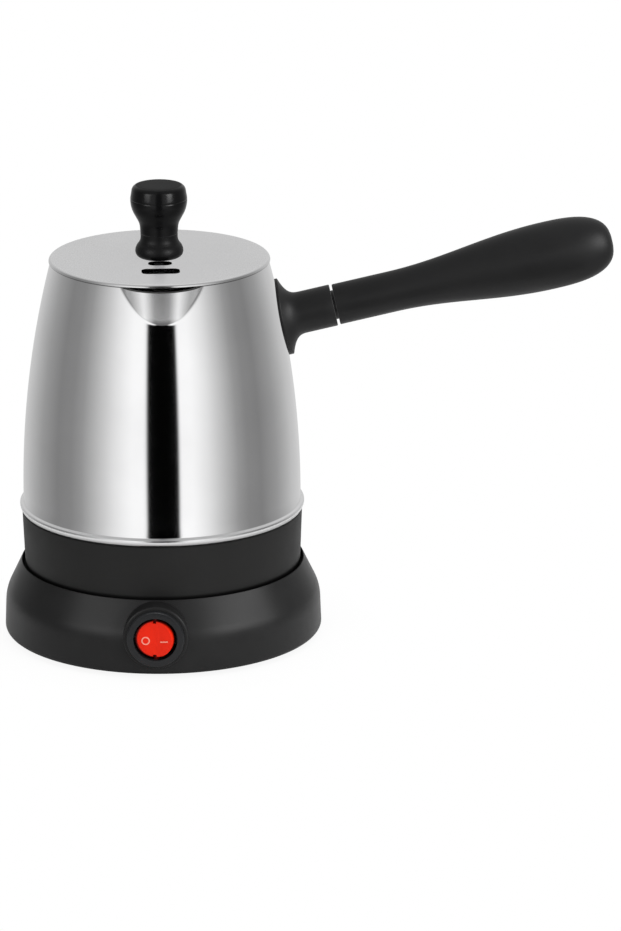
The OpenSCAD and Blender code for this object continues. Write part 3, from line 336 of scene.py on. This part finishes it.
def pot_finish():
    """Mirror steel; the spout and bead are duller, and painted shade darkens the bead's foot and the rim's
    edge.
    """
    finish = metal("polished_steel", (0.95, 0.95, 0.955), 0.075, (0.25, 0.25, 40), 500, 0.0000004)
    nodes, links, bsdf = parts_of(finish)
    # How far a point stands proud of the plain shell, whose side is an arc
    rise = at_height(nodes, links, -pot_wide * MM, (200 - pot_wide) * MM, 0, 200)
    taper = calc(nodes, links, "DIVIDE", calc(nodes, links, "MULTIPLY", rise, rise), 2 * pot_arc * MM)
    proud = calc(nodes, links, "ADD", from_axis(nodes, links, object_place(nodes)), taper)
    change(nodes, links, bsdf, "Roughness", "ADD",
           level(nodes, links, proud, 0, 0.13, (pot_r + 0.3) * MM, (pot_r + 1.0) * MM))
    # Painted shade: the bead's foot is taken towards a dark grey
    bead = at_height(nodes, links, 0.8, 0, bead_z - 0.4, bead_wide + 0.3)
    paint_shade(nodes, links, bsdf, bead, (0.32, 0.32, 0.32))
    # Painted shade: a near black line along the rim's top edge, under the lid
    rim = at_height(nodes, links, 0, 1, rim_z - 0.35, rim_z - 0.15)
    paint_shade(nodes, links, bsdf, rim, (0.02, 0.02, 0.02))
    return finish


def lid_finish():
    """Satin steel; the rolled edge is brighter, and painted shade darkens its underside and the slots' cut
    edges.
    """
    finish = metal("lid_steel", (0.86, 0.86, 0.865), 0.34, (60, 1.5, 1), 240, 0.0000012, cloud=0.02)
    nodes, links, bsdf = parts_of(finish)
    top = rim_z + lid_edge
    reach = from_axis(nodes, links, object_place(nodes))
    change(nodes, links, bsdf, "Roughness", "MULTIPLY",
           level(nodes, links, reach, 1, 0.45, (lid_r - 1.6) * MM, (lid_r - 1.0) * MM))
    # Painted shade under the rolled edge
    painted_edge_shade = at_height(nodes, links, 1, 0, rim_z + 0.15, rim_z + 0.45)
    paint_shade(nodes, links, bsdf, painted_edge_shade, (0.09, 0.09, 0.09))
    # Painted shade: in the middle of the lid, everything below the top face, the slots' cut walls among it,
    # goes near black
    middle = level(nodes, links, reach, 1, 0, (lid_r - 6) * MM, (lid_r - 5) * MM)
    below_top = at_height(nodes, links, 1, 0, top - 0.07, top - 0.04)
    paint_shade(nodes, links, bsdf, calc(nodes, links, "MULTIPLY", middle, below_top), (0.01, 0.01, 0.01))
    return finish


def base_finish():
    """Satin black; the well that the pot stands in is matt."""
    finish = plastic("base_black", (0.0085, 0.0085, 0.0086), 0.36, 2200, 0.000008, specular=0.17)
    nodes, links, bsdf = parts_of(finish)
    reach = from_axis(nodes, links, object_place(nodes))
    change(nodes, links, bsdf, "Roughness", "ADD",
           level(nodes, links, reach, 0.55, 0, (well_r + 0.1) * MM, (well_r + 0.3) * MM))
    return finish


def skirt_finish():
    """Matt black; painted shade darkens its foot, which stands in the base's well."""
    finish = plastic("skirt_black", (0.0142, 0.0142, 0.014), 0.55, 2000, 0.00001, specular=0.2)
    nodes, links, bsdf = parts_of(finish)
    # Painted shade: the foot goes nearly black where it stands down in the well
    foot = at_height(nodes, links, 1, 0, base_top + 0.6, base_top + 1.5)
    paint_shade(nodes, links, bsdf, foot, (0.0015, 0.0015, 0.0015))
    return finish


def knob_finish():
    """Glossy black with a matt top face and a duller foot."""
    finish = plastic("knob_black", (0.003, 0.003, 0.0032), 0.22, 2500, 0.000002, specular=0.2)
    nodes, links, bsdf = parts_of(finish)
    top = rim_z + lid_edge + knob_h
    change(nodes, links, bsdf, "Roughness", "ADD", at_height(nodes, links, 0, 0.4, top - 0.3, top - 0.05))
    change(nodes, links, bsdf, "Roughness", "ADD", at_height(nodes, links, 0.2, 0, top - 21, top - 15))
    return finish


def rocker_finish():
    """Bright red face; painted shade turns the rocker's edge, its sides and its notches a dark red."""
    finish = plastic("rocker_red", (0.8, 0.02, 0.0045), 0.42, 1500, 0.000002, cloud=0.04, specular=0.12)
    nodes, links, bsdf = parts_of(finish)
    here = nodes.new("ShaderNodeMapping")
    here.vector_type = "TEXTURE"
    here.inputs["Location"].default_value = switch_place.translation
    here.inputs["Rotation"].default_value = switch_place.to_euler()
    links.new(object_place(nodes), here.inputs[0])
    split = nodes.new("ShaderNodeSeparateXYZ")
    links.new(here.outputs[0], split.inputs[0])
    reach = from_axis(nodes, links, here.outputs[0])
    # Painted shade: the cap's rim and sides and the notches' walls go dark red
    edge = level(nodes, links, reach, 0, 1, (rocker_r - 0.5) * MM, (rocker_r - 0.1) * MM)
    aside = calc(nodes, links, "ABSOLUTE", split.outputs[0])
    near = level(nodes, links, aside, 1, 0, (notch_w / 2 + 0.01) * MM, (notch_w / 2 + 0.09) * MM)
    deep = level(nodes, links, split.outputs[2], 1, 0, 0.45 * MM, 0.6 * MM)
    dark = calc(nodes, links, "MAXIMUM", edge, calc(nodes, links, "MULTIPLY", near, deep))
    paint_shade(nodes, links, bsdf, dark, (0.09, 0.002, 0.001))
    return finish


def lamp_glass_finish():
    finish, nodes, links, bsdf = new_finish("lamp_glass")
    bsdf.inputs["Transmission Weight"].default_value = 0.85
    bsdf.inputs["IOR"].default_value = 1.47
    warm = grain(nodes, links, 400, 2)
    links.new(tint(nodes, links, warm, (1.0, 0.42, 0.22), (1.0, 0.62, 0.42)), bsdf.inputs["Base Color"])
    links.new(level(nodes, links, warm, 0.05, 0.12), bsdf.inputs["Roughness"])
    return finish


def make_finishes():
    return {
        "polished_steel": pot_finish(),
        "lid_steel": lid_finish(),
        "inner_steel": metal("inner_steel", (0.7, 0.7, 0.7), 0.3, (1, 1, 30), 300, 0.000001),
        "fastener_steel": metal("fastener_steel", (0.66, 0.66, 0.68), 0.2, scale=1500),
        "plate_aluminium": metal("plate_aluminium", (0.62, 0.63, 0.64), 0.42, scale=700, depth=0.00001),
        "element_steel": metal("element_steel", (0.2, 0.185, 0.17), 0.48, scale=500, depth=0.000008,
                               cloud=0.2),
        "thermostat_case": metal("thermostat_case", (0.66, 0.64, 0.58), 0.38),
        "contact_brass": metal("contact_brass", (0.72, 0.5, 0.2), 0.3, scale=1200, cloud=0.1),
        "base_black": base_finish(),
        "cover_black": plastic("cover_black", (0.01, 0.01, 0.0105), 0.55, 1800, 0.00002, specular=0.3),
        "skirt_black": skirt_finish(),
        "connector_black": plastic("connector_black", (0.009, 0.009, 0.0095), 0.45, specular=0.3),
        "switch_black": plastic("switch_black", (0.009, 0.0095, 0.0105), 0.34, 3000, 0.000006,
                                specular=0.28),
        "handle_black": plastic("handle_black", (0.0068, 0.0068, 0.007), 0.42, 2400, specular=0.24),
        "knob_black": knob_finish(),
        "rocker_red": rocker_finish(),
        "foot_rubber": plastic("foot_rubber", (0.03, 0.03, 0.03), 0.75, 1500, 0.00003, specular=0.3),
        "gland_rubber": plastic("gland_rubber", (0.016, 0.016, 0.016), 0.6, 1800, 0.00002, specular=0.35),
        "lead_insulation": plastic("lead_insulation", (0.3, 0.06, 0.035), 0.55, 1400, 0.00001),
        "mark_paint": plastic("mark_paint", (0.87, 0.32, 0.24), 0.5, 1800, 0.000003, specular=0.2),
        "lamp_glass": lamp_glass_finish(),
    }


# ------------------------------------------------------------ making tools

def begin(piece_name):
    piece = bpy.context.object
    piece.name = piece_name
    piece.data.name = piece_name
    return piece


def pick_nothing():
    bpy.ops.object.select_all(action="DESELECT")


def only(piece):
    pick_nothing()
    piece.select_set(True)
    bpy.context.view_layer.objects.active = piece


def edit():
    bpy.ops.object.mode_set(mode="EDIT")


def done():
    bpy.ops.object.mode_set(mode="OBJECT")


def select_mesh(action="SELECT"):
    bpy.ops.mesh.select_all(action=action)


def face_outwards():
    select_mesh()
    bpy.ops.mesh.normals_make_consistent(inside=False)


def settle():
    """Fixes the active object's place, turn and scale in its mesh."""
    bpy.ops.object.transform_apply(location=True, rotation=True, scale=True)


def arc(centre, radius, start, end, steps):
    """Points of an arc in millimetres, angles in degrees."""
    return [(centre[0] + radius * math.cos(math.radians(start + (end - start) * i / steps)),
             centre[1] + radius * math.sin(math.radians(start + (end - start) * i / steps)))
            for i in range(steps + 1)]


def turned(name, outline, sides):
    """A piece turned on the Z axis: its outline is drawn point by point, then spun."""
    pick_nothing()
    bpy.ops.mesh.primitive_plane_add(size=0.001, location=(0, 0, 0))
    piece = begin(name)
    edit()
    bpy.ops.mesh.select_mode(type="VERT")
    select_mesh()
    bpy.ops.mesh.merge(type="CENTER")
    points = [Vector((r, 0, z)) * MM for r, z in outline]
    bpy.ops.transform.translate(value=points[0])
    for a, b in zip(points, points[1:]):
        bpy.ops.mesh.extrude_vertices_move(TRANSFORM_OT_translate={"value": b - a})
    select_mesh()
    bpy.ops.mesh.spin(steps=sides, angle=math.tau, center=(0, 0, 0), axis=(0, 0, 1))
    select_mesh()
    bpy.ops.mesh.remove_doubles(threshold=0.000002)
    face_outwards()
    done()
    return piece


def put(piece, matrix):
    """Moves a piece from its own frame to its place, and fixes that place in its mesh."""
    only(piece)
    piece.matrix_world = matrix
    settle()


def apply(piece, kind, **settings):
    only(piece)
    modifier = piece.modifiers.new(kind.lower(), kind)
    for key, value in settings.items():
        setattr(modifier, key, value)
    bpy.ops.object.modifier_apply(modifier=modifier.name)


def cut(piece, cutter):
    apply(piece, "BOOLEAN", operation="DIFFERENCE", object=cutter, solver="EXACT")
    bpy.data.objects.remove(cutter)


def soften(piece, width, steps):
    apply(piece, "BEVEL", width=width, segments=steps, limit_method="ANGLE", angle_limit=math.radians(50))


def finish_piece(piece, body, slot, *nodes, angle, finish=None):
    """Shades a piece smooth up to an angle, gives it the finish of its slot or another one, puts it in its
    body and hides the nodes it replaces.
    """
    only(piece)
    bpy.ops.object.shade_smooth_by_angle(angle=math.radians(angle))
    piece.data.materials.clear()
    piece.data.materials.append(finishes[finish or slot])
    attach(piece, body)
    if nodes:
        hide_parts(*nodes)


def merged_copy(node):
    """The node's own shape as one smooth skin."""
    source = frame["nodes"][node]
    piece = bpy.data.objects.new(node + "_skin", source.data.copy())
    bpy.context.scene.collection.objects.link(piece)
    only(piece)
    edit()
    select_mesh()
    bpy.ops.mesh.remove_doubles(threshold=0.000002)
    bpy.ops.mesh.tris_convert_to_quads(face_threshold=math.radians(1), shape_threshold=math.radians(60))
    done()
    if piece.data.has_custom_normals:
        bpy.ops.mesh.customdata_custom_splitnormals_clear()
    return piece


# ------------------------------------------------------------ sizes, in millimetres

pot_r, pot_arc, pot_wide, rim_z, steel = 55.7, 378, 58.0, 153.8, 0.8
bead_z, bead_r, bead_wide = 53.4, 1.45, 54.3
spout_drop, spout_lean, spout_half, spout_nose = 14.3, 11.9, 10.5, 15
lid_r, lid_edge, lid_sheet, lid_hole_r = 44.05, 1.5, 0.8, 2.2
slot_round = 2.5
steam_slots = ((9.4, 6.4, 10.6), (15.1, 8.1, 22.7))  # length, width, distance from the middle
knob_h, knob_foot_r, knob_neck_r, knob_head_r, knob_bore_r = 29.5, 9.55, 7.35, 11.3, 2.1
handle_z, handle_tilt = 129.7, 12.5
ferrule_len, slit, grip_len = 20.85, 1.0, 113
flange_h, flange_w, neck_h = 15.7, 11.3, 8.45
flange_t, bell_end = 1.4, 9
flange_edge, neck_oval = 0.3, 0.9
grip_slim, grip_full, grip_oval, tenon_r, tenon_len = 8.25, 13.65, 0.88, 5.85, 4.5
well_r, seat_r, switch_z, base_turn = 56.6, 64.8, 17.2, 4
rocker_r, rocker_tilt, rocker_valley, valley_r, rocker_deep = 7.55, 11, 1.83, 14, 2.5
notch_w, off_ring_r, off_ring_w = 1.5, 1.68, 0.48
base_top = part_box("base_shell")[1][2] / MM


def pot_out(z):
    return pot_r - pot_arc + math.sqrt(pot_arc ** 2 - (z - pot_wide) ** 2)


# ------------------------------------------------------------ pot

def spout_reach(angle, z):
    """How far the spout's cone reaches from the pot's axis at a height, in a direction from the spout's."""
    tilt = math.radians(spout_half - spout_lean)
    lean = math.radians(spout_lean)
    tip = Vector((0, -pot_out(rim_z - spout_drop), rim_z - spout_drop))
    start = tip - 2.2 * Vector((0, -math.sin(lean), math.cos(lean)))
    root = start - spout_nose * Vector((0, -math.cos(tilt), math.sin(tilt)))
    axis = Vector((0, math.sin(tilt), math.cos(tilt)))

    def in_cone(reach):
        p = Vector((reach * math.sin(angle), -reach * math.cos(angle), z)) - root
        along = p.dot(axis)
        round_r = spout_nose + along * math.tan(math.radians(spout_half))
        return along >= 0 and (p - along * axis).length <= round_r

    outer = next((r / 4 for r in range(260, 140, -1) if in_cone(r / 4)), None)
    if outer is None:
        return 0
    low, high = outer, outer + 0.25
    for _ in range(12):
        middle = (low + high) / 2
        low, high = (middle, high) if in_cone(middle) else (low, middle)
    return low


def press_spout(piece):
    """Presses the spout out of the plain shell, with a small blend where it leaves the wall."""
    blend = 0.15
    mesh = bmesh.new()
    mesh.from_mesh(piece.data)
    for v in mesh.verts:
        x, y, z = v.co / MM
        angle = math.atan2(x, -y)
        if z < rim_z - spout_drop - 4 or abs(angle) > math.radians(32):
            continue
        wall = math.hypot(x, y)
        reach = spout_reach(angle, z)
        if reach == 0:
            continue
        overlap = max(blend - abs(wall - reach), 0) / blend
        radius = max(wall, reach) + overlap ** 2 * blend / 4
        v.co.x, v.co.y = radius * math.sin(angle) * MM, -radius * math.cos(angle) * MM
    mesh.to_mesh(piece.data)
    mesh.free()


def make_pot():
    """The shell is turned with its bead; its rings lie close together where the spout is pressed."""
    foot = (pot_out(bead_z + bead_r), bead_z)
    heights = [bead_wide + 1.4] + [bead_z + bead_r + 5 * i for i in range(1, 16)]
    heights += [132 + 0.45 * i for i in range(48)] + [153.5, rim_z]
    outline = [(foot[0] - 1.9, bead_z - bead_r)]
    outline += [(r, bead_wide + (z - bead_z) * (bead_wide - bead_z + bead_r) / bead_r)
                for r, z in arc(foot, bead_r, -90, 0, 12)]
    outline += arc((foot[0] + bead_r - 0.8, bead_wide), 0.8, 15, 75, 5)
    outline += [(foot[0] + 0.25, bead_wide + 0.95), (foot[0] + 0.08, bead_wide + 1.1)]
    outline += [(pot_out(z), z) for z in heights]
    pot = turned("pot_body", outline, 420)
    if max(pot.data.polygons, key=lambda f: f.center.x).normal.x < 0:
        only(pot)
        edit()
        select_mesh()
        bpy.ops.mesh.flip_normals()
        done()
    press_spout(pot)
    apply(pot, "SOLIDIFY", thickness=steel * MM, offset=-1)
    finish_piece(pot, "pot", "polished_steel", "pot_shell", angle=40)


# ------------------------------------------------------------ lid and knob

def slot_cutter(length, width, y):
    """A bar with round ends that goes through the lid."""
    pick_nothing()
    bpy.ops.mesh.primitive_cube_add(size=1, location=(0, -y * MM, rim_z * MM))
    bar = begin("slot_bar")
    bar.scale = (length * MM, width * MM, 0.01)
    settle()
    edit()
    bpy.ops.mesh.select_mode(type="EDGE")
    select_mesh("DESELECT")
    done()
    for e in bar.data.edges:
        a, b = (bar.data.vertices[i].co for i in e.vertices)
        e.select = abs(a.z - b.z) > 0.005
    edit()
    bpy.ops.mesh.bevel(offset=slot_round * MM, segments=12, affect="EDGES")
    done()
    return bar


def make_lid():
    """A flat sheet with a rolled edge, a hole for the knob's screw, and two steam slots."""
    top, under = rim_z + lid_edge, rim_z + lid_edge - lid_sheet
    hem = lid_r - 2.2
    outline = [(lid_hole_r, under), (hem - 0.5, under), (hem, under - 0.2), (hem + 0.25, rim_z + 0.1)]
    outline += arc((lid_r - 0.3, rim_z + 0.3), 0.3, -90, -15, 4)
    outline += arc((lid_r - 1.2, top - 1.2), 1.2, 0, 90, 12)
    outline += [(lid_hole_r, top), (lid_hole_r, under)]
    lid = turned("lid_top", outline, 240)
    for length, width, y in steam_slots:
        cut(lid, slot_cutter(length, width, y))
    finish_piece(lid, "lid", "lid_steel", "lid_plate", angle=30)


def make_knob():
    """A turned knob: a round foot, a slim neck with a fine groove, and a flared head with a crease."""
    bottom = rim_z + lid_edge
    crease = knob_h - 5.8
    foot_end = knob_foot_r - 4.5 * (1 - math.cos(math.radians(44)))
    flare = (knob_neck_r + 0.26 + 7.2 * math.cos(math.radians(5)), 12.4 - 7.2 * math.sin(math.radians(5)))
    outline = [(knob_bore_r, 12), (knob_bore_r, 0.2), (knob_bore_r + 0.2, 0)]
    outline += arc((knob_foot_r - 2.6, 2.6), 2.6, -90, 0, 14)
    outline += arc((knob_foot_r - 4.5, 2.6), 4.5, 4, 44, 12)
    outline += [(knob_neck_r + share * (foot_end - knob_neck_r), z) for share, z in
                ((0.8, 6.0), (0.67, 6.25), (0.5, 6.5), (0.34, 6.8), (0.22, 7.15), (0.13, 7.5), (0.07, 7.9),
                 (0.03, 8.3))]
    outline += [(knob_neck_r + r, z) for r, z in
                ((0.04, 9.5), (-0.05, 9.6), (-0.12, 9.7), (-0.05, 9.8), (0.05, 9.9))]
    outline += arc(flare, 7.2, 175, 151.5, 10)
    outline += arc((knob_head_r - 12, crease - 0.2), 12, -29.4, -0.5, 16)
    outline += [(knob_head_r - r, crease + z) for r, z in
                ((0.1, -0.1), (0.14, 0), (0.05, 0.12), (0, 0.25), (0.05, 0.7), (0.17, 1.5), (0.32, 2.3))]
    outline += arc((knob_head_r - 3.1, knob_h - 2.6), 2.6, 11, 88, 12)
    outline += [(6, knob_h), (0, knob_h)]
    knob = turned("knob", [(r, z + bottom) for r, z in outline], 160)
    only(knob)
    edit()
    bpy.ops.mesh.select_mode(type="EDGE")
    select_mesh("DESELECT")
    bpy.ops.mesh.select_non_manifold()
    bpy.ops.mesh.edge_face_add()
    face_outwards()
    done()
    finish_piece(knob, "lid", "knob_black", "lid_knob", angle=40)
    return knob


# ------------------------------------------------------------ handle

handle_place = (Matrix.Translation((pot_out(handle_z) * MM, 0, handle_z * MM))
                @ Matrix.Rotation(math.radians(-handle_tilt), 4, "Y"))


def rings_along(name, rings, sides):
    """Rings drawn one after another along the X axis, each (u, half height, half width), then closed."""
    u, h, w = rings[0]
    pick_nothing()
    bpy.ops.mesh.primitive_circle_add(
        vertices=sides, radius=MM, rotation=(0, math.pi / 2, 0), location=(0, 0, 0))
    piece = begin(name)
    settle()
    edit()
    select_mesh()
    bpy.ops.transform.resize(value=(1, w, h), center_override=(0, 0, 0))
    bpy.ops.transform.translate(value=(u * MM, 0, 0))
    bpy.ops.mesh.edge_face_add()
    for (u0, h0, w0), (u1, h1, w1) in zip(rings, rings[1:]):
        bpy.ops.mesh.extrude_region_move(TRANSFORM_OT_translate={"value": ((u1 - u0) * MM, 0, 0)})
        bpy.ops.transform.resize(value=(1, w1 / w0, h1 / h0), center_override=(0, 0, 0))
    face_outwards()
    done()
    return piece


def ferrule_height(u):
    edge = flange_t - flange_edge
    if u <= edge:
        return flange_h
    if u <= flange_t:
        return flange_h - 0.4 * ((u - edge) / flange_edge) ** 2
    if u < bell_end:
        return neck_h + (flange_h - 0.4 - neck_h) * (1 - (u - flange_t) / (bell_end - flange_t)) ** 3.4
    return neck_h


def make_ferrule():
    """The neck's oval flares out to a flange, which is bent round the pot and laid on its side."""
    neck_w = neck_h * neck_oval
    stations = [0.2, 0.7, flange_t - flange_edge, flange_t - 0.22, flange_t - 0.14, flange_t - 0.06]
    stations += [flange_t + (bell_end - flange_t) * share for share in
                 (0, 0.015, 0.03, 0.05, 0.07, 0.095, 0.12, 0.15, 0.18, 0.22, 0.26, 0.31, 0.36, 0.42, 0.48,
                  0.55, 0.62, 0.71, 0.8, 0.9, 1)]
    stations += [11, 14, 17, ferrule_len - 0.4]
    rings = []
    for u in stations:
        h = ferrule_height(u)
        rings.append((u, h, neck_w + (flange_w - neck_w) * (h - neck_h) / (flange_h - neck_h)))
    rings += [(ferrule_len - 0.12, neck_h - 0.1, neck_w - 0.1), (ferrule_len, neck_h - 0.38, neck_w - 0.38),
              (ferrule_len, tenon_r + 0.25, tenon_r + 0.25),
              (ferrule_len - tenon_len - 0.1, tenon_r + 0.2, tenon_r + 0.2)]
    ferrule = rings_along("ferrule", rings, 120)
    reach, seat_gap = pot_out(handle_z), 0.06
    mesh = bmesh.new()
    mesh.from_mesh(ferrule.data)
    backs = []
    for v in mesh.verts:
        u, across = v.co.x / MM, v.co.y / MM
        if u < 0.5:
            backs.append(v)
        elif u < bell_end and abs(across) < flange_w + 1 and v.co.yz.length > 6.5 * MM:
            share = (1 - max(u - flange_t, 0) / bell_end) ** 2
            v.co.x -= share * (reach - math.sqrt(reach ** 2 - across ** 2)) * MM
    along = (handle_place.to_3x3() @ Vector((1, 0, 0))).normalized()
    for v in backs:
        start = handle_place @ Vector((0, v.co.y, v.co.z))
        low, high = -12.0, 6.0
        for _ in range(30):
            middle = (low + high) / 2
            p = (start + along * middle * MM) / MM
            low, high = (middle, high) if math.hypot(p.x, p.y) < pot_out(p.z) + seat_gap else (low, middle)
        v.co.x = low * MM
    mesh.to_mesh(ferrule.data)
    mesh.free()
    put(ferrule, handle_place)
    finish_piece(ferrule, "pot", "handle_black", "handle_ferrule", angle=45)
    return ferrule


def make_grip():
    """The grip starts with a tenon in the ferrule, stays slim, swells, and ends round."""
    start = ferrule_len + slit
    swell = start + 0.205 * grip_len
    full = start + 0.765 * grip_len
    end = start + grip_len
    blunt = 2.8

    def height(u):
        if u < swell:
            return grip_slim
        if u < full:
            share = (1 - math.cos(math.pi * (u - swell) / (full - swell))) / 2
            return grip_slim + (grip_full - grip_slim) * share
        return grip_full * max(0, 1 - ((u - full) / (end - full)) ** blunt) ** (1 / blunt)

    def ring(u, less=0):
        return u, height(u) - less, (height(u) - less) * grip_oval

    rings = [(ferrule_len - tenon_len, tenon_r, tenon_r), (start, tenon_r, tenon_r)]
    rings += [ring(start, 0.45), ring(start + 0.12, 0.12), ring(start + 0.45), ring(start + 10)]
    rings += [ring(swell + (full - swell) * i / 26) for i in range(27)]
    rings += [ring(full + (end - full) * math.sin(math.radians(a))) for a in range(4, 84, 4)]
    rings += [ring(full + (end - full) * share) for share in (0.9965, 0.9985, 0.9995)]
    grip = rings_along("grip", rings, 96)
    put(grip, handle_place)
    finish_piece(grip, "pot", "handle_black", "handle_grip", angle=45)
    return grip


# ------------------------------------------------------------ switch

switch_place = (Matrix.Rotation(math.radians(-base_turn), 4, "Z")
                @ Matrix.Translation((0, -seat_r * MM, switch_z * MM))
                @ Matrix.Rotation(math.pi / 2, 4, "X"))
rocker_place = (switch_place @ Matrix.Translation((0, 0, -1.0 * MM))
                @ Matrix.Rotation(math.radians(-rocker_tilt), 4, "Y"))


def rocker_face(x):
    """Height of the rocker's face over its pivot: two slopes that meet in a soft valley."""
    slope = math.radians(rocker_tilt)
    if abs(x) > valley_r * math.sin(slope):
        return rocker_valley + math.tan(slope) * abs(x)
    return rocker_valley + valley_r / math.cos(slope) - math.sqrt(valley_r ** 2 - x ** 2)


def make_rocker():
    """A round cap with two sloping faces, a notch at each side, its trunnions and its leg."""
    pick_nothing()
    bpy.ops.mesh.primitive_cylinder_add(
        vertices=96, radius=rocker_r * MM, depth=2 * rocker_deep * MM, location=(0, 0, 0))
    rocker = begin("rocker_cap")
    settle()
    edit()
    for x in [-2.7 + 0.45 * i for i in range(13)]:
        select_mesh()
        bpy.ops.mesh.bisect(plane_co=(x * MM, 0, 0), plane_no=(1, 0, 0))
    done()
    for v in rocker.data.vertices:
        v.co.z = (rocker_face(v.co.x / MM) if v.co.z > 0 else -rocker_deep) * MM
    soften(rocker, 0.35 * MM, 4)
    for side in (-1, 1):
        pick_nothing()
        bpy.ops.mesh.primitive_cube_add(size=1, location=(0, side * rocker_r * MM, 2.3 * MM))
        notch = begin("notch_bar")
        notch.scale = (notch_w * MM, 2.2 * MM, 2.8 * MM)
        settle()
        cut(rocker, notch)
    # The two trunnions are one pin, and the leg below holds the plunger
    for turn, radius, depth, drop in ((math.pi / 2, 1.1, 18.3, 0), (0, 2.1, 3.2, 4.0)):
        pick_nothing()
        bpy.ops.mesh.primitive_cylinder_add(vertices=32, radius=radius * MM, depth=depth * MM,
                                            rotation=(turn, 0, 0), location=(0, 0, -drop * MM))
        limb = begin("rocker_limb")
        settle()
        apply(rocker, "BOOLEAN", operation="UNION", object=limb, solver="EXACT")
        bpy.data.objects.remove(limb)
    put(rocker, rocker_place)
    finish_piece(rocker, "rocker", "rocker_red", "switch_rocker", angle=35)


def make_marks():
    """The off ring and the on bar, printed on the rocker's two faces."""
    slope = math.radians(rocker_tilt)
    pick_nothing()
    bpy.ops.mesh.primitive_circle_add(
        vertices=48, radius=off_ring_r * MM, fill_type="NGON", location=(0, 0, 0))
    ring = begin("off_mark")
    edit()
    select_mesh()
    bpy.ops.mesh.inset(thickness=off_ring_w * MM)
    bpy.ops.mesh.delete(type="FACE")
    select_mesh()
    bpy.ops.mesh.extrude_region_move(TRANSFORM_OT_translate={"value": (0, 0, 0.09 * MM)})
    face_outwards()
    done()
    x = -3.5 * MM
    rise = rocker_valley * MM - math.tan(slope) * x - 0.03 * MM
    place = rocker_place @ Matrix.Translation((x, -0.8 * MM, rise))
    put(ring, place @ Matrix.Rotation(slope, 4, "Y"))
    pick_nothing()
    bpy.ops.mesh.primitive_cube_add(size=1, location=(0, 0, 0.035 * MM))
    bar = begin("on_mark")
    bar.scale = (3.3 * MM, 0.5 * MM, 0.11 * MM)
    settle()
    soften(bar, 0.03 * MM, 1)
    x = 4.0 * MM
    rise = rocker_valley * MM + math.tan(slope) * x
    place = rocker_place @ Matrix.Translation((x, -0.75 * MM, rise))
    put(bar, place @ Matrix.Rotation(-slope, 4, "Y") @ Matrix.Rotation(math.radians(9), 4, "Z"))
    for mark in (ring, bar):
        finish_piece(mark, "rocker", "rocker_red", angle=30, finish="mark_paint")


# ------------------------------------------------------------ the rest keeps the frame's own shapes

def dress_nodes():
    """Gives every node its finish, and makes a smooth skin for the moulded and pressed ones."""
    slots = {s["node"]: s["material_slot"] for s in frame["record"]["subparts"]}
    for name, node in frame["nodes"].items():
        node.data.materials.clear()
        node.data.materials.append(finishes[slots[name]])
    bodies = {"base_shell": "base", "pot_skirt": "pot", "switch_housing": "base", "base_connector": "base",
              "pot_connector": "pot", "base_cover": "base", "cord_gland": "base", "pot_bottom": "pot"}
    skins = {}
    for name, body in bodies.items():
        skins[name] = merged_copy(name)
        finish_piece(skins[name], body, slots[name], name, angle=28)
    return skins


set_camera()
set_studio()
add_lamp("top_softbox", (0.1, -0.3, 1.1), (0.9, 0.7), 6.0)
add_lamp("right_softbox", (0.85, -0.95, 0.5), (0.6, 0.8), 8.6)
add_floor()
finishes = make_finishes()
make_pot()
make_lid()
knob = make_knob()
handle = [make_ferrule(), make_grip()]
make_rocker()
make_marks()
skins = dress_nodes()
base, housing = [skins["base_shell"]], [skins["switch_housing"]]
box_at("knob_box_left", (0, 0, 181), -49, 16, 0.9, (0.36, 0.4), 4.2, [knob])
box_at("knob_box_right", (0, 0, 181), 45, 16, 0.9, (0.32, 0.4), 9, [knob])
box_at("base_box_left", (0, 0, 25), -51, 19, 1.0, (0.75, 0.4), 3.6, base)
box_at("base_box_right", (0, 0, 25), 58, 19, 1.0, (0.9, 0.4), 6.4, base)
box_at("switch_box", (0, -60, 17), 5, 62, 0.8, (0.4, 0.2), 8, housing)
box_at("grip_box", (180, 0, 155), 58, 20, 0.9, (0.6, 0.5), 7, handle)
box_at("handle_box", (110, 0, 145), 6, 8, 1.4, (0.9, 0.3), 1.3, handle)
# The knob and the handle don't show in the mirror steel
fixings = [frame["nodes"][name] for name in ("handle_stud", "grip_insert", "handle_bracket")]
for piece in [knob, *handle, *fixings]:
    piece.visible_glossy = False

bpy.context.scene.view_settings.view_transform = "Standard"
